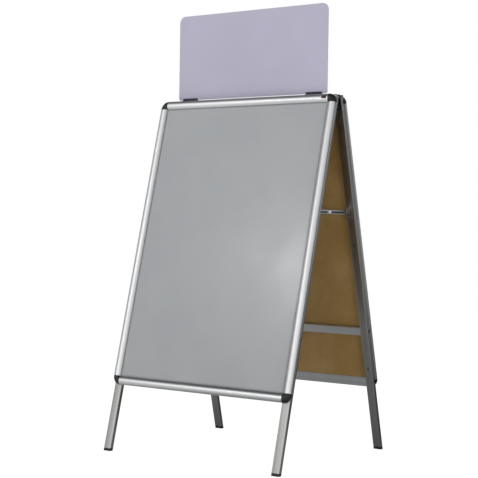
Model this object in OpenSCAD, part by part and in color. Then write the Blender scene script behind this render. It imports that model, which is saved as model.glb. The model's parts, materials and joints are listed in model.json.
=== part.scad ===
// A-frame pavement sign: two snap-open poster frames on legs, hinged together at the
// top, held apart by a folding stay on each side, with a header panel in two clips.
//
// Row space: X across the sign, -Y towards the front, Z up from the floor.
// Each frame is drawn upright in its own panel space and then leaned: X across,
// Y = 0 on the hinge axis with the poster side negative, Z = 0 at the frame's top edge.
// A snap profile's section is drawn in p (inwards from the frame's outer edge) and
// q (outwards from the frame's back).

/* [Board] */
// Outer width of each poster frame
frame_w = 624; // [500:1:800]
// Outer height of each poster frame
frame_h = 871; // [640:1:1200]
// Angle between the two frames when the stays are straight
open_angle = 28.4; // [22:0.1:36]
// Length of leg below each frame
leg_reach = 190.5; // [80:1:320]

/* [Snap profile] */
// Width of the snap profile seen from the front
profile_w = 25; // [22:0.5:36]
// Height of the flap's crest above the frame's back
profile_h = 13; // [11:0.1:18]
// Thickness of the base extrusion's walls
base_wall = 1.5; // [1:0.1:2]
// Thickness of the flap
flap_t = 1.5; // [1:0.1:2]
// Width of the base's flange inside the corner caps
flange_w = 3; // [1:0.5:8]
// Radius of the bead that the flap turns on
bead_r = 1.5; // [1.2:0.1:1.7]
// Outer radius of the flap's hook round the bead
hook_r = 3; // [2.8:0.1:3.4]
// Height of the bead's centre above the frame's back
bead_q = 6.4; // [6:0.1:7.5]
// Distance from the outer edge to the rib that the sheets stand against
rib_p = 12; // [12:0.5:13]
// How far a flap opens, in degrees
flap_travel = 90; // [60:1:90]
// Length of the corner cap's tongues
tongue_len = 15; // [6:1:30]
// Width of one flap spring
spring_w = 22; // [8:1:40]
// Distance between flap springs
spring_pitch = 190; // [80:1:300]

/* [Sheets] */
// Thickness of the hardboard back panel
panel_t = 3; // [2:0.1:4]
// Thickness of the grey backing sheet
backing_t = 1; // [0.5:0.1:1.5]
// Thickness of the clear cover sheet
cover_t = 1; // [0.5:0.1:1.5]

/* [Legs] */
// Width of the leg tube
leg_w = 25; // [20:0.5:30]
// Depth of the leg tube
leg_d = 12; // [10:0.5:16]
// Wall of the leg tube
leg_wall = 1.2; // [1:0.1:1.8]
// How far the leg stands in from the frame's outer edge
leg_inset = 4; // [2:0.5:8]
// Height of the foot cap
foot_h = 8; // [5:0.5:14]
// Length of the plugs inside the tubes
plug_len = 18; // [8:1:30]

/* [Crossbar] */
// Height of the crossbar's middle above the frame's lower edge
crossbar_rise = 175; // [60:1:300]
// Height of the crossbar tube
crossbar_h = 25; // [18:0.5:30]
// Depth of the crossbar tube
crossbar_d = 10; // [8:0.5:10]

/* [Hinge] */
// Outer radius of the hinge knuckles
knuckle_r = 4.5; // [4:0.1:6]
// Radius of the hinge pin
pin_r = 2; // [1.5:0.1:2.4]
// Thickness of a hinge leaf
leaf_t = 1.8; // [1.4:0.1:2.2]
// Length of a hinge leaf
leaf_len = 40; // [40:1:48]

/* [Stays] */
// Distance of the stay's leg pivots below the frame's top edge
stay_drop = 339; // [240:1:420]
// Depth of the stay's leg pivot behind the leg's inner face
stay_pivot_depth = 6; // [5:0.5:7]
// Width of a stay link
stay_w = 12; // [8:0.5:12]
// Thickness of a stay link
stay_t = 2; // [1.5:0.1:3]
// Radius of the stay's pivot rivets
stay_rivet_r = 2.5; // [2:0.1:3]

/* [Header] */
// Height of the header panel
header_h = 255; // [120:1:320]
// Thickness of the header panel
header_t = 3; // [2:0.1:5]
// How far the header runs past the outer ends of its clips
header_overhang = 18; // [6:0.5:30]
// Radius of the header's upper corners
header_top_r = 20; // [5:1:50]
// Radius of the header's lower corners
header_foot_r = 6; // [2:1:30]
// Height of the header's lower edge above the hinge axis
header_lift = 10.5; // [10:0.1:20]
// Width of a header clip
clip_w = 52; // [30:1:80]
// Gap between a leg and the header clip beside it
clip_from_leg = 35; // [2:1:60]
// Depth of the clip's slot
slot_depth = 5; // [4:0.5:12]
// Width of the blank badge on the front top flap
badge_w = 15; // [8:1:30]

/* [Hidden] */
$fn = 64;
// Clearances and small fixings
bead_gap = 0.08;      // bead to hook
sweep_gap = 0.3;      // hook to the base's shoulder
lip_gap = 0.4;        // flap lip to the cover sheet
cap_gap = 0.4;        // flap end to corner cap
sheet_gap = 0.9;      // sheet edge to rib
fit_gap = 0.15;       // plugs in tubes, tongues, spacing between turning pieces
shank_gap = 0.05;     // screws, rivets and pins in their holes
slot_gap = 0.2;       // header in its clips, each side
knuckle_gap = 1;      // knuckles to the legs' inner faces
neck_w = 1.1;         // the wall that carries the bead
screw_r = 2;
screw_head_r = 3.6;
screw_head_h = 1.6;
end_screw_drop = 60;  // the leg's end screws, from the frame's top and foot
rivet_head_h = 1.2;
rivet_flare = 2;      // a rivet's head past its shank, all round
washer_flare = 1.5;   // a rivet's spacer past its shank, all round
rivet_grip = 1;       // a rivet past the wall that it holds
spring_t = 0.6;
spring_side_gap = 0.5; // spring to the hook
spring_top_gap = 1.2; // spring's raised tip to the flap
spring_tip_in = 2;    // spring's tip, inwards of its foot
spring_slant = 0.8;   // the slanting strip, measured along its foot
tongue_t = 1.6;       // a corner cap's tongue
plug_cap_h = 2.5;
top_plug_len = 6;     // the legs' top plugs stop above the hinge screws
plug_blind = 4;       // a crossbar plug past the tip of its screw
bracket_t = 1.5;
bracket_h = 28;
bracket_below = 18;   // the bracket's foot below the stay's pivot
bracket_set_in = 0.5; // the bracket's front edge behind the leg's front face
bracket_reach = 0.7;  // the bracket's back plate, as a share of the leg's width
bracket_rivet_in = 8;
bracket_rivet_below = 10;
hinge_side = 1;       // the hinge in from the leg's sides
pin_head_h = 1;
pin_flare = 1;        // a pin's head past its shank, all round
knuckle_root = 1;     // a knuckle's strip past the knuckle, above and below
clip_plate_t = 2.5;
clip_plate_h = 18;
clip_wall = 2.8;
clip_root_h = 5;      // the clip's arm down its plate
clip_sink = 0.5;      // the clip's arm into its plate
clip_web = 2;         // the arm's extra depth below the slot's front
badge_t = 0.5;
badge_in = 5;         // the badge from the end of its flap
badge_from = 78;      // the badge on the flap's arc, in degrees
badge_to = 108;
hook_from = -50;      // the hook's arc round the bead, closed, in degrees
hook_to = 155;
far = 100;

// Whole sign
lean = open_angle / 2;
leg_end = frame_h + leg_reach;
hinge_z = leg_end * cos(lean);
hinge_offset = knuckle_r + knuckle_gap;
back_y = hinge_offset + leg_d;
leg_x1 = frame_w / 2 - leg_inset;
leg_x0 = leg_x1 - leg_w;
leg_mid = (leg_x0 + leg_x1) / 2;
hinge_w = leg_w - 2 * hinge_side;
knuckle_x = [for (i = [0 : 3]) leg_x0 + hinge_side + i * hinge_w / 3];
leg_screw_drops = [end_screw_drop, frame_h / 2, frame_h - end_screw_drop];

// Snap profile: the flap is an arc tangent to the hook's circle, with its crest at
// profile_h and its lip just clear of the cover sheet
sheet_q = base_wall + panel_t + backing_t + cover_t;
lip_q = sheet_q + lip_gap;
sheet_edge = rib_p + base_wall + sheet_gap;
bead_p = hook_r;
shoulder_q = bead_q - hook_r - sweep_gap;
crest_rise = profile_h - bead_q;
crest_drop = profile_h - lip_q;
flap_span = profile_w - bead_p;
arc_k = crest_drop / (crest_rise - hook_r) - 1;
arc_c = crest_drop * (hook_r + crest_rise - crest_drop) - flap_span * flap_span;
arc_u = (sqrt(flap_span * flap_span - arc_k * arc_c) - flap_span) / arc_k;
arc_r = (arc_u * arc_u / (crest_rise - hook_r) + hook_r + crest_rise) / 2;
arc_p = bead_p + arc_u;
arc_q = profile_h - arc_r;
arc_from = atan2(bead_q - arc_q, bead_p - arc_p);

// Stays: both links lie level and in line when the sign is open
stay_y = -(hinge_offset + stay_pivot_depth);
stay_half = -(stay_y * cos(lean) - stay_drop * sin(lean));
stay_z = hinge_z - stay_y * sin(lean) - stay_drop * cos(lean);
bracket_x = leg_x0 - bracket_t;
front_link_x = bracket_x - 2 * fit_gap - stay_t;
rear_link_x = front_link_x - 2 * fit_gap - stay_t;
bracket_rivet_x = leg_x0 + bracket_rivet_in;
bracket_rivet_drop = stay_drop + bracket_rivet_below;

// Header
clip_x1 = leg_x0 - clip_from_leg;
clip_mid = clip_x1 - clip_w / 2;
header_w = 2 * (clip_x1 + header_overhang);
header_z = hinge_z + header_lift;
clip_half_d = header_t / 2 + slot_gap + clip_wall;

EDGES = ["top", "bottom", "left", "right"];

// ---- Placing ---------------------------------------------------------------

// Panel space of the front frame into row space; the rear frame is its mirror image
module on_front() translate([0, 0, hinge_z]) rotate([-lean, 0, 0]) children();

module on_frame(side) {
    if (side == "front") on_front() children();
    if (side == "rear") mirror([0, 1, 0]) on_front() children();
}

// The right-hand piece, or its mirror image on the left
module on_hand(hand) {
    if (hand == "right") children();
    if (hand == "left") mirror([1, 0, 0]) children();
}

module on_both_hands() {
    on_hand("right") children();
    on_hand("left") children();
}

function is_level(edge) = edge == "top" || edge == "bottom";
function edge_turn(edge) = edge == "top" ? 0 : edge == "right" ? 90 : edge == "bottom" ? 180 : -90;
function edge_run(edge) = (is_level(edge) ? frame_w : frame_h) - 2 * profile_w;

// A piece drawn on the top edge, turned round the frame's middle onto another edge
module on_edge(edge) {
    reach = (is_level(edge) ? frame_h : frame_w) / 2;
    translate([0, 0, -frame_h / 2]) rotate([0, edge_turn(edge), 0]) translate([0, 0, reach]) children();
}

// A (p, q) section run along the top edge
module along_edge(run) {
    translate([0, -back_y, 0]) rotate(a = 180, v = [1, 0, -1])
        linear_extrude(height = run, center = true) children();
}

module on_four_corners() {
    on_both_hands() translate([0, 0, -frame_h / 2]) {
        translate([0, 0, frame_h / 2]) children();
        mirror([0, 0, 1]) translate([0, 0, frame_h / 2]) children();
    }
}

// Everything below a height above the floor
module below(height) translate([-far * 10, -far * 10, height - far * 2]) cube([far * 20, far * 20, far * 2]);

// ---- Fixings ---------------------------------------------------------------

// A round piece along Y, from y0 towards +Y
module rod_y(x, y0, z, r, length) translate([x, y0, z]) rotate([-90, 0, 0]) cylinder(r = r, h = length);

// A round piece along X, from x0 towards +X
module rod_x(x0, y, z, r, length) translate([x0, y, z]) rotate([0, 90, 0]) cylinder(r = r, h = length);

// A screw whose head stands on the plane y, with its shank towards -Y
module screw_y(x, y, z, length) {
    rod_y(x, y - length, z, screw_r, length + screw_head_h / 2);
    translate([x, y, z]) rotate([-90, 0, 0]) cylinder(r1 = screw_head_r, r2 = screw_head_r * 0.7, h = screw_head_h);
}

// ---- Snap profile ----------------------------------------------------------

module pie(from, to) polygon([
    [0, 0], far * [cos(from), sin(from)],
    far * [cos((from + to) / 2), sin((from + to) / 2)], far * [cos(to), sin(to)]
]);

module base_section() {
    square([profile_w, base_wall]);
    square([bead_p + neck_w / 2, shoulder_q]);
    translate([bead_p - neck_w / 2, 0]) square([neck_w, bead_q]);
    translate([bead_p, bead_q]) circle(bead_r);
    translate([rib_p, 0]) square([base_wall, base_wall + panel_t + backing_t]);
}

module flap_section() difference() {
    union() {
        intersection() {
            translate([arc_p, arc_q]) difference() {
                circle(arc_r, $fn = 180);
                circle(arc_r - flap_t, $fn = 180);
            }
            translate([arc_p, arc_q]) polygon([[0, 0], far * [cos(arc_from), sin(arc_from)], [far, far], [far, 0]]);
            translate([-far / 2, lip_q]) square(far);
        }
        translate([bead_p, bead_q]) difference() {
            circle(hook_r);
            pie(hook_to, hook_from + 360);
        }
    }
    translate([bead_p, bead_q]) circle(bead_r + bead_gap);
}

module cap_section() {
    square([profile_w, bead_q]);
    translate([bead_p, bead_q]) circle(hook_r);
    intersection() {
        translate([arc_p, arc_q]) circle(arc_r, $fn = 180);
        translate([arc_p + arc_r * cos(arc_from), 0]) square([profile_w - arc_p - arc_r * cos(arc_from), profile_h]);
    }
}

module spring_section() {
    foot_p = bead_p + hook_r + spring_side_gap;
    heel_p = rib_p - 2 * fit_gap;
    tip_p = foot_p + spring_tip_in;
    tip_q = profile_h - flap_t - spring_top_gap;
    foot_q = base_wall + spring_t;
    polygon([
        [foot_p, base_wall], [heel_p, base_wall], [heel_p, foot_q],
        [tip_p + spring_t, tip_q], [tip_p, tip_q - spring_t / 2],
        [heel_p - spring_slant, foot_q], [foot_p, foot_q]
    ]);
}

module leg_screw_holes() {
    for (drop = leg_screw_drops)
        rod_y(leg_mid, -back_y - base_wall - 1, -drop, screw_r + shank_gap, leg_d + base_wall + 2);
}

module clip_screw_places() {
    for (offset = [-1, 1])
        translate([clip_mid + offset * clip_w / 4, 0, 0]) children();
}

module base_profile(side, edge) {
    color("silver") on_frame(side) difference() {
        on_edge(edge) {
            along_edge(edge_run(edge)) base_section();
            along_edge(edge_run(edge) - 2 * flange_w)
                translate([profile_w - 1, 0]) square([flange_w + 1, base_wall]);
        }
        if (edge == "left" || edge == "right") on_hand(edge) leg_screw_holes();
        if (edge == "top" && side == "front") on_both_hands() clip_screw_places()
            rod_y(0, -back_y - base_wall - 1, -clip_plate_h / 2, screw_r + shank_gap, base_wall + 2);
    }
}

module flap(side, edge) {
    color("gainsboro") on_frame(side) on_edge(edge)
        along_edge(edge_run(edge) - 2 * cap_gap) flap_section();
}

module flap_springs(side) {
    color("dimgray") on_frame(side) for (edge = EDGES) on_edge(edge) {
        count = floor(edge_run(edge) / spring_pitch);
        for (i = [0 : count - 1])
            translate([(i - (count - 1) / 2) * spring_pitch, 0, 0]) along_edge(spring_w) spring_section();
    }
}

// One cap: the profile's outline turned through a quarter about the inner corner,
// with a recess for the sheets' corners and a tongue into each neighbouring profile
module corner_cap() {
    tongue_p = bead_p + hook_r;
    tongue_w = rib_p - tongue_p - 2 * fit_gap;
    recess = profile_w - sheet_edge + sheet_gap / 2;
    difference() {
        union() {
            rotate_extrude(angle = 90) translate([profile_w, 0]) mirror([1, 0]) cap_section();
            for (flip = [false, true]) {
                mirror(flip ? [1, -1, 0] : [0, 0, 1])
                    translate([-tongue_len, profile_w - tongue_p - fit_gap - tongue_w,
                               flip ? base_wall + fit_gap : -base_wall - fit_gap - tongue_t])
                    cube([tongue_len + 2, tongue_w, tongue_t]);
            }
        }
        translate([-1, -1, base_wall]) cube([recess + 1, recess + 1, lip_q - base_wall]);
    }
}

module corner_caps(side) {
    color("black") on_frame(side) on_four_corners()
        translate([frame_w / 2 - profile_w, -back_y, -profile_w]) rotate([90, 0, 0]) corner_cap();
}

// ---- Sheets ----------------------------------------------------------------

module sheet(side, q, thickness) {
    on_frame(side) translate([-frame_w / 2 + sheet_edge, -back_y - q - thickness, -frame_h + sheet_edge])
        cube([frame_w - 2 * sheet_edge, thickness, frame_h - 2 * sheet_edge]);
}

module back_panel(side) color("saddlebrown") sheet(side, base_wall, panel_t);
module backing_sheet(side) color("darkgray") sheet(side, base_wall + panel_t, backing_t);
module cover_sheet(side) color("lightgray", 0.5) sheet(side, sheet_q - cover_t, cover_t);

// ---- Legs and crossbars ----------------------------------------------------

module leg_bar(inset, top, bottom) {
    translate([leg_x0 + inset, -back_y + inset, -bottom])
        cube([leg_w - 2 * inset, leg_d - 2 * inset, bottom - top]);
}

module leg(side, hand) {
    crossbar_drop = frame_h - crossbar_rise;
    color("silver") difference() {
        on_frame(side) on_hand(hand) difference() {
            leg_bar(0, plug_cap_h, leg_end + 2 * foot_h);
            leg_bar(leg_wall, 0, leg_end + 3 * foot_h);
            leg_screw_holes();
            for (drop = hinge_screw_drops())
                rod_y(leg_mid, -hinge_offset - leg_wall - 1, -drop, screw_r + shank_gap, leg_wall + 2);
            rod_x(leg_x0 - 1, -back_y + leg_d / 2, -crossbar_drop, screw_r + shank_gap, leg_w + 2);
            rod_x(leg_x0 - 1, stay_y, -stay_drop, stay_rivet_r + shank_gap, leg_wall + 2);
            rod_y(bracket_rivet_x, -hinge_offset - leg_wall - 1, -bracket_rivet_drop,
                  stay_rivet_r + shank_gap, leg_wall + 2);
        }
        below(foot_h);
    }
}

module leg_plugs(side) {
    color("black") on_frame(side) on_both_hands() {
        leg_bar(0, 0, plug_cap_h);
        leg_bar(leg_wall + fit_gap, plug_cap_h / 2, plug_cap_h + top_plug_len);
    }
}

module foot_caps(side) {
    color("black") {
        intersection() {
            on_frame(side) on_both_hands() leg_bar(0, leg_end - 3 * foot_h, leg_end + 3 * foot_h);
            translate([-far * 10, -far * 10, 0]) cube([far * 20, far * 20, foot_h]);
        }
        difference() {
            on_frame(side) on_both_hands()
                leg_bar(leg_wall + fit_gap, leg_end - foot_h - plug_len, leg_end + 2 * foot_h);
            below(foot_h / 2);
        }
    }
}

module crossbar_bar(inset, x0, x1) {
    translate([x0, -back_y + (leg_d - crossbar_d) / 2 + inset, -frame_h + crossbar_rise - crossbar_h / 2 + inset])
        cube([x1 - x0, crossbar_d - 2 * inset, crossbar_h - 2 * inset]);
}

module crossbar(side) {
    color("silver") on_frame(side) difference() {
        crossbar_bar(0, -leg_x0, leg_x0);
        crossbar_bar(leg_wall, -leg_x0 - 1, leg_x0 + 1);
    }
}

module crossbar_plugs(side) {
    color("black") on_frame(side) on_both_hands() difference() {
        crossbar_bar(leg_wall + fit_gap, leg_x0 - plug_len, leg_x0);
        rod_x(leg_x0 - plug_len - 1, -back_y + leg_d / 2, -frame_h + crossbar_rise,
              screw_r + shank_gap, plug_len + 2);
    }
}

// ---- Screws ----------------------------------------------------------------

module screws(side) {
    color("lightslategray") on_frame(side) on_both_hands() {
        for (drop = leg_screw_drops) screw_y(leg_mid, -hinge_offset, -drop, leg_d + base_wall);
        for (drop = hinge_screw_drops())
            screw_y(leg_mid, -hinge_offset + leaf_t, -drop, leaf_t + leg_wall + 3);
        rod_x(leg_x0 - plug_len + plug_blind, -back_y + leg_d / 2, -frame_h + crossbar_rise,
              screw_r, leg_w + plug_len - plug_blind);
        translate([leg_x1, -back_y + leg_d / 2, -frame_h + crossbar_rise]) rotate([0, 90, 0])
            cylinder(r1 = screw_head_r, r2 = screw_head_r * 0.7, h = screw_head_h);
        if (side == "front") clip_screw_places()
            screw_y(0, -back_y + clip_plate_t, -clip_plate_h / 2, clip_plate_t + base_wall);
    }
}

// ---- Hinges ----------------------------------------------------------------

function hinge_screw_drops() = [leaf_len * 0.4, leaf_len * 0.8];
function own_knuckles(side) = side == "front" ? [0, 2] : [1];

module hinge_leaves(side) {
    color("dimgray") on_frame(side) on_both_hands() difference() {
        union() {
            translate([knuckle_x[0], -hinge_offset, -leaf_len])
                cube([hinge_w, leaf_t, leaf_len - knuckle_r - fit_gap * 2]);
            for (i = own_knuckles(side)) {
                x0 = knuckle_x[i] + fit_gap;
                run = hinge_w / 3 - 2 * fit_gap;
                translate([x0, -hinge_offset, -knuckle_r - knuckle_root])
                    cube([run, leaf_t, knuckle_r + 2.5 * knuckle_root]);
                rod_x(x0, 0, 0, knuckle_r, run);
            }
        }
        rod_x(leg_x0, 0, 0, pin_r + shank_gap, leg_w);
        for (drop = hinge_screw_drops())
            rod_y(leg_mid, -hinge_offset - 1, -drop, screw_r + shank_gap, leaf_t + 2);
    }
}

module hinge_pins() {
    color("gray") translate([0, 0, hinge_z]) on_both_hands() {
        rod_x(knuckle_x[0], 0, 0, pin_r, hinge_w);
        rod_x(knuckle_x[0] - pin_head_h, 0, 0, pin_r + pin_flare, pin_head_h);
        rod_x(knuckle_x[3], 0, 0, pin_r + pin_flare, pin_head_h);
    }
}

// ---- Stays -----------------------------------------------------------------

// An angle plate wrapped round the leg's inner corner
module stay_brackets(side) {
    color("lightsteelblue") on_frame(side) on_both_hands() difference() {
        union() {
            translate([bracket_x, -hinge_offset, -stay_drop - bracket_below])
                cube([leg_w * bracket_reach + bracket_t, bracket_t, bracket_h]);
            translate([bracket_x, -back_y + bracket_set_in, -stay_drop - bracket_below])
                cube([bracket_t, leg_d + bracket_t - bracket_set_in, bracket_h]);
        }
        rod_x(bracket_x - 1, stay_y, -stay_drop, stay_rivet_r + shank_gap, bracket_t + 2);
        rod_y(bracket_rivet_x, -hinge_offset - 1, -bracket_rivet_drop, stay_rivet_r + shank_gap, bracket_t + 2);
    }
}

function link_x(side) = side == "front" ? front_link_x : rear_link_x;

// A pivot rivet through link, bracket and leg wall, and a rivet through the bracket's face
module stay_rivets(side) {
    head_x = link_x(side) - fit_gap;
    spacer_x = link_x(side) + stay_t + fit_gap;
    color("whitesmoke") on_frame(side) on_both_hands() {
        rod_x(head_x, stay_y, -stay_drop, stay_rivet_r, leg_x0 + leg_wall + rivet_grip - head_x);
        rod_x(head_x - rivet_head_h, stay_y, -stay_drop, stay_rivet_r + rivet_flare, rivet_head_h);
        if (bracket_x - spacer_x > stay_t / 2)
            rod_x(spacer_x, stay_y, -stay_drop, stay_rivet_r + washer_flare, bracket_x - spacer_x);
        rod_y(bracket_rivet_x, -hinge_offset - leg_wall - rivet_grip, -bracket_rivet_drop,
              stay_rivet_r, leg_wall + rivet_grip + bracket_t + rivet_head_h / 2);
        rod_y(bracket_rivet_x, -hinge_offset + bracket_t, -bracket_rivet_drop,
              stay_rivet_r + washer_flare, rivet_head_h);
    }
}

// A pressed bar with rounded ends and a groove, from the leg pivot to the knee
module stay_link(side, hand) {
    color("silver") on_hand(hand) mirror(side == "front" ? [0, 0, 0] : [0, 1, 0])
        translate([link_x(side), -stay_half, stay_z]) rotate([90, 0, 90]) difference() {
            linear_extrude(height = stay_t) difference() {
                union() {
                    circle(stay_w / 2);
                    translate([0, -stay_w / 2]) square([stay_half, stay_w]);
                    translate([stay_half, 0]) circle(stay_w / 2);
                }
                circle(stay_rivet_r + shank_gap);
                translate([stay_half, 0]) circle(stay_rivet_r);
            }
            translate([stay_w, -stay_w / 5, -1]) cube([stay_half - 2 * stay_w, stay_w * 2 / 5, 1 + stay_t / 2]);
        }
}

// Each link carries its own half of the knee rivet
module knee_rivet(side, hand) {
    head_x = side == "front" ? link_x(side) + stay_t : link_x(side) - rivet_head_h;
    color("whitesmoke") on_hand(hand) {
        rod_x(link_x(side), 0, stay_z, stay_rivet_r, stay_t);
        rod_x(head_x, 0, stay_z, stay_rivet_r + rivet_flare, side == "front" ? bracket_t - fit_gap : rivet_head_h);
    }
}

// ---- Header ----------------------------------------------------------------

module header_panel() {
    half = header_w / 2;
    color("thistle") translate([0, header_t / 2, header_z]) rotate([90, 0, 0])
        linear_extrude(height = header_t) {
            for (x = [-1, 1]) {
                translate([x * (half - header_foot_r), header_foot_r]) circle(header_foot_r);
                translate([x * (half - header_top_r), header_h - header_top_r]) circle(header_top_r);
            }
            translate([-half, header_foot_r]) square([header_w, header_h - header_foot_r - header_top_r]);
            translate([-half + header_foot_r, 0]) square([header_w - 2 * header_foot_r, header_h / 2]);
            translate([-half + header_top_r, header_h / 2])
                square([header_w - 2 * header_top_r, header_h / 2]);
        }
}

// Panel space of the front frame, as a point of the row's Y-Z plane
function row_yz(y, z) = [y * cos(lean) + z * sin(lean), hinge_z - y * sin(lean) + z * cos(lean)];

// A plate on the back of the front top profile, with an arm up to a slot for the header
module header_clips() {
    arm_y = -back_y + clip_plate_t;
    color("black") on_both_hands() difference() {
        union() {
            on_front() translate([clip_mid - clip_w / 2, -back_y, -clip_plate_h])
                cube([clip_w, clip_plate_t, clip_plate_h]);
            translate([clip_mid + clip_w / 2, 0, 0]) rotate([90, 0, -90]) linear_extrude(height = clip_w)
                polygon([for (pt = [
                    row_yz(arm_y - clip_sink, -clip_root_h), row_yz(arm_y - clip_sink, 0),
                    [-clip_half_d, header_z], [-clip_half_d, header_z + slot_depth],
                    [clip_half_d, header_z + slot_depth], [clip_half_d, header_z - clip_wall],
                    [-clip_half_d, header_z - clip_wall - clip_web]
                ]) [-pt[0], pt[1]]]);
        }
        translate([clip_mid - clip_w / 2 - 1, -header_t / 2 - slot_gap, header_z])
            cube([clip_w + 2, header_t + 2 * slot_gap, slot_depth + 1]);
        on_front() clip_screw_places()
            rod_y(0, -back_y - 1, -clip_plate_h / 2, screw_r + shank_gap, clip_plate_t + 2);
    }
}

// A blank badge laid on the front top flap's curve near its right end
module badge() {
    color("darkred") on_front() on_edge("top")
        translate([frame_w / 2 - profile_w - badge_in - badge_w / 2, 0, 0])
            along_edge(badge_w) translate([arc_p, arc_q]) intersection() {
                difference() {
                    circle(arc_r + badge_t, $fn = 180);
                    circle(arc_r, $fn = 180);
                }
                pie(badge_from, badge_to);
            }
}

// ---- Nodes -----------------------------------------------------------------

base_profile("front", "top");  // front_profile_top
base_profile("front", "bottom");  // front_profile_bottom
base_profile("front", "left");  // front_profile_left
base_profile("front", "right");  // front_profile_right
base_profile("rear", "top");  // rear_profile_top
base_profile("rear", "bottom");  // rear_profile_bottom
base_profile("rear", "left");  // rear_profile_left
base_profile("rear", "right");  // rear_profile_right
flap("front", "top");  // front_flap_top
flap("front", "bottom");  // front_flap_bottom
flap("front", "left");  // front_flap_left
flap("front", "right");  // front_flap_right
flap("rear", "top");  // rear_flap_top
flap("rear", "bottom");  // rear_flap_bottom
flap("rear", "left");  // rear_flap_left
flap("rear", "right");  // rear_flap_right
corner_caps("front");  // front_corner_caps
corner_caps("rear");  // rear_corner_caps
flap_springs("front");  // front_flap_springs
flap_springs("rear");  // rear_flap_springs
cover_sheet("front");  // front_cover_sheet
cover_sheet("rear");  // rear_cover_sheet
backing_sheet("front");  // front_backing_sheet
backing_sheet("rear");  // rear_backing_sheet
back_panel("front");  // front_back_panel
back_panel("rear");  // rear_back_panel
leg("front", "left");  // front_leg_left
leg("front", "right");  // front_leg_right
leg("rear", "left");  // rear_leg_left
leg("rear", "right");  // rear_leg_right
leg_plugs("front");  // front_leg_plugs
leg_plugs("rear");  // rear_leg_plugs
foot_caps("front");  // front_foot_caps
foot_caps("rear");  // rear_foot_caps
crossbar("front");  // front_crossbar
crossbar("rear");  // rear_crossbar
crossbar_plugs("front");  // front_crossbar_plugs
crossbar_plugs("rear");  // rear_crossbar_plugs
screws("front");  // front_screws
screws("rear");  // rear_screws
hinge_leaves("front");  // front_hinge_leaves
hinge_leaves("rear");  // rear_hinge_leaves
hinge_pins();
stay_brackets("front");  // front_stay_brackets
stay_brackets("rear");  // rear_stay_brackets
stay_rivets("front");  // front_stay_rivets
stay_rivets("rear");  // rear_stay_rivets
stay_link("front", "left");  // stay_link_front_left
stay_link("front", "right");  // stay_link_front_right
stay_link("rear", "left");  // stay_link_rear_left
stay_link("rear", "right");  // stay_link_rear_right
knee_rivet("front", "left");  // knee_rivet_front_left
knee_rivet("front", "right");  // knee_rivet_front_right
knee_rivet("rear", "left");  // knee_rivet_rear_left
knee_rivet("rear", "right");  // knee_rivet_rear_right
header_panel();
header_clips();
badge();
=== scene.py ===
"""A-frame pavement sign: the finished pieces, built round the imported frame.

Two snap-open poster frames stand on legs, hinge together at the top and are held apart by a
folding stay on each side. A header panel stands in two clips between them.

Everything is in metres. Panel space is one poster frame stood upright: X across, Y = 0 on the
hinge line with the poster on the negative side, Z = 0 at the frame's top edge. A snap profile's
section is drawn in p, inwards from the frame's outer edge, and q, outwards from its back.
"""
import json
import logging
import math
from collections.abc import Iterable, Sequence
from dataclasses import dataclass
from enum import Enum
from functools import cached_property
from typing import Any

import bmesh
import bpy
from bmesh.types import BMEdge, BMesh, BMVert
from bpy.types import Material, Node, NodeSocket, NodeTree
from mathutils import Matrix, Vector

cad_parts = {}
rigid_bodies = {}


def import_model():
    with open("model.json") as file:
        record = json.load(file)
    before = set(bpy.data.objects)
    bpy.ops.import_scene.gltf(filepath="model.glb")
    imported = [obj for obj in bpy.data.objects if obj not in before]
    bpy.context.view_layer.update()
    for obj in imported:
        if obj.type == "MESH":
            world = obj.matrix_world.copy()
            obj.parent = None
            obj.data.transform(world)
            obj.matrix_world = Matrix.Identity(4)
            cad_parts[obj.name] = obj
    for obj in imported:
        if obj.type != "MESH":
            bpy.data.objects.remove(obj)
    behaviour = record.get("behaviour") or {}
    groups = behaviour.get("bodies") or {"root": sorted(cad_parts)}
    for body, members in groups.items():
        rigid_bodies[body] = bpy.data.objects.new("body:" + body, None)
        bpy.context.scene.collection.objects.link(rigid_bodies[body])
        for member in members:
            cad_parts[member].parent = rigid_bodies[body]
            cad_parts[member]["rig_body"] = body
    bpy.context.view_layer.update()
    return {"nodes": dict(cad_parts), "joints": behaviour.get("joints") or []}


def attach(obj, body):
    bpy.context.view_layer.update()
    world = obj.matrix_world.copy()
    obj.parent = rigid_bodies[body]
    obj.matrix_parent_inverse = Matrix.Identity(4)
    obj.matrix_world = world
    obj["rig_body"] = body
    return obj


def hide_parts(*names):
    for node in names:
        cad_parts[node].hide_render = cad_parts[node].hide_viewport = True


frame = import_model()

LOG = logging.getLogger("pavement_sign")
MM = 0.001
WELD = 1e-6  # points closer than this are one
QUARTER = math.radians(90)
CORNER_TURN = math.radians(25)  # an outline that turns more than this has a corner there
CREASE = math.radians(28)  # faces that meet at more than this are shaded with an edge
SHARP = math.radians(60)  # edges that turn more than this are softened
X, Y, Z = Vector((1, 0, 0)), Vector((0, 1, 0)), Vector((0, 0, 1))
AXES_YZX = Matrix(((0, 0, 1, 0), (1, 0, 0, 0), (0, 1, 0, 0), (0, 0, 0, 1)))  # lays X, Y, Z along Y, Z, X
Colour = tuple[float, float, float, float]
Setting = float | Sequence[float] | NodeSocket


# ---- Names and places ------------------------------------------------------------------------


class Side(Enum):
    """The sign's two poster frames."""

    FRONT = "front"
    REAR = "rear"


class Edge(Enum):
    """A poster frame's four edges, each by its turn from the top edge in degrees."""

    TOP = 0
    RIGHT = 90
    BOTTOM = 180
    LEFT = -90

    @property
    def level(self) -> bool:
        """Whether the edge runs across the sign."""
        return self in (Edge.TOP, Edge.BOTTOM)

    def word(self, side: Side) -> str:
        """The edge's name on a side. The rear is turned round, so its hands change over.

        Args:
            side: The side that the edge is on.

        Returns:
            Its word in the names of nodes.
        """
        if side is Side.REAR and not self.level:
            return (Edge.LEFT if self is Edge.RIGHT else Edge.RIGHT).name.lower()
        return self.name.lower()


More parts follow.
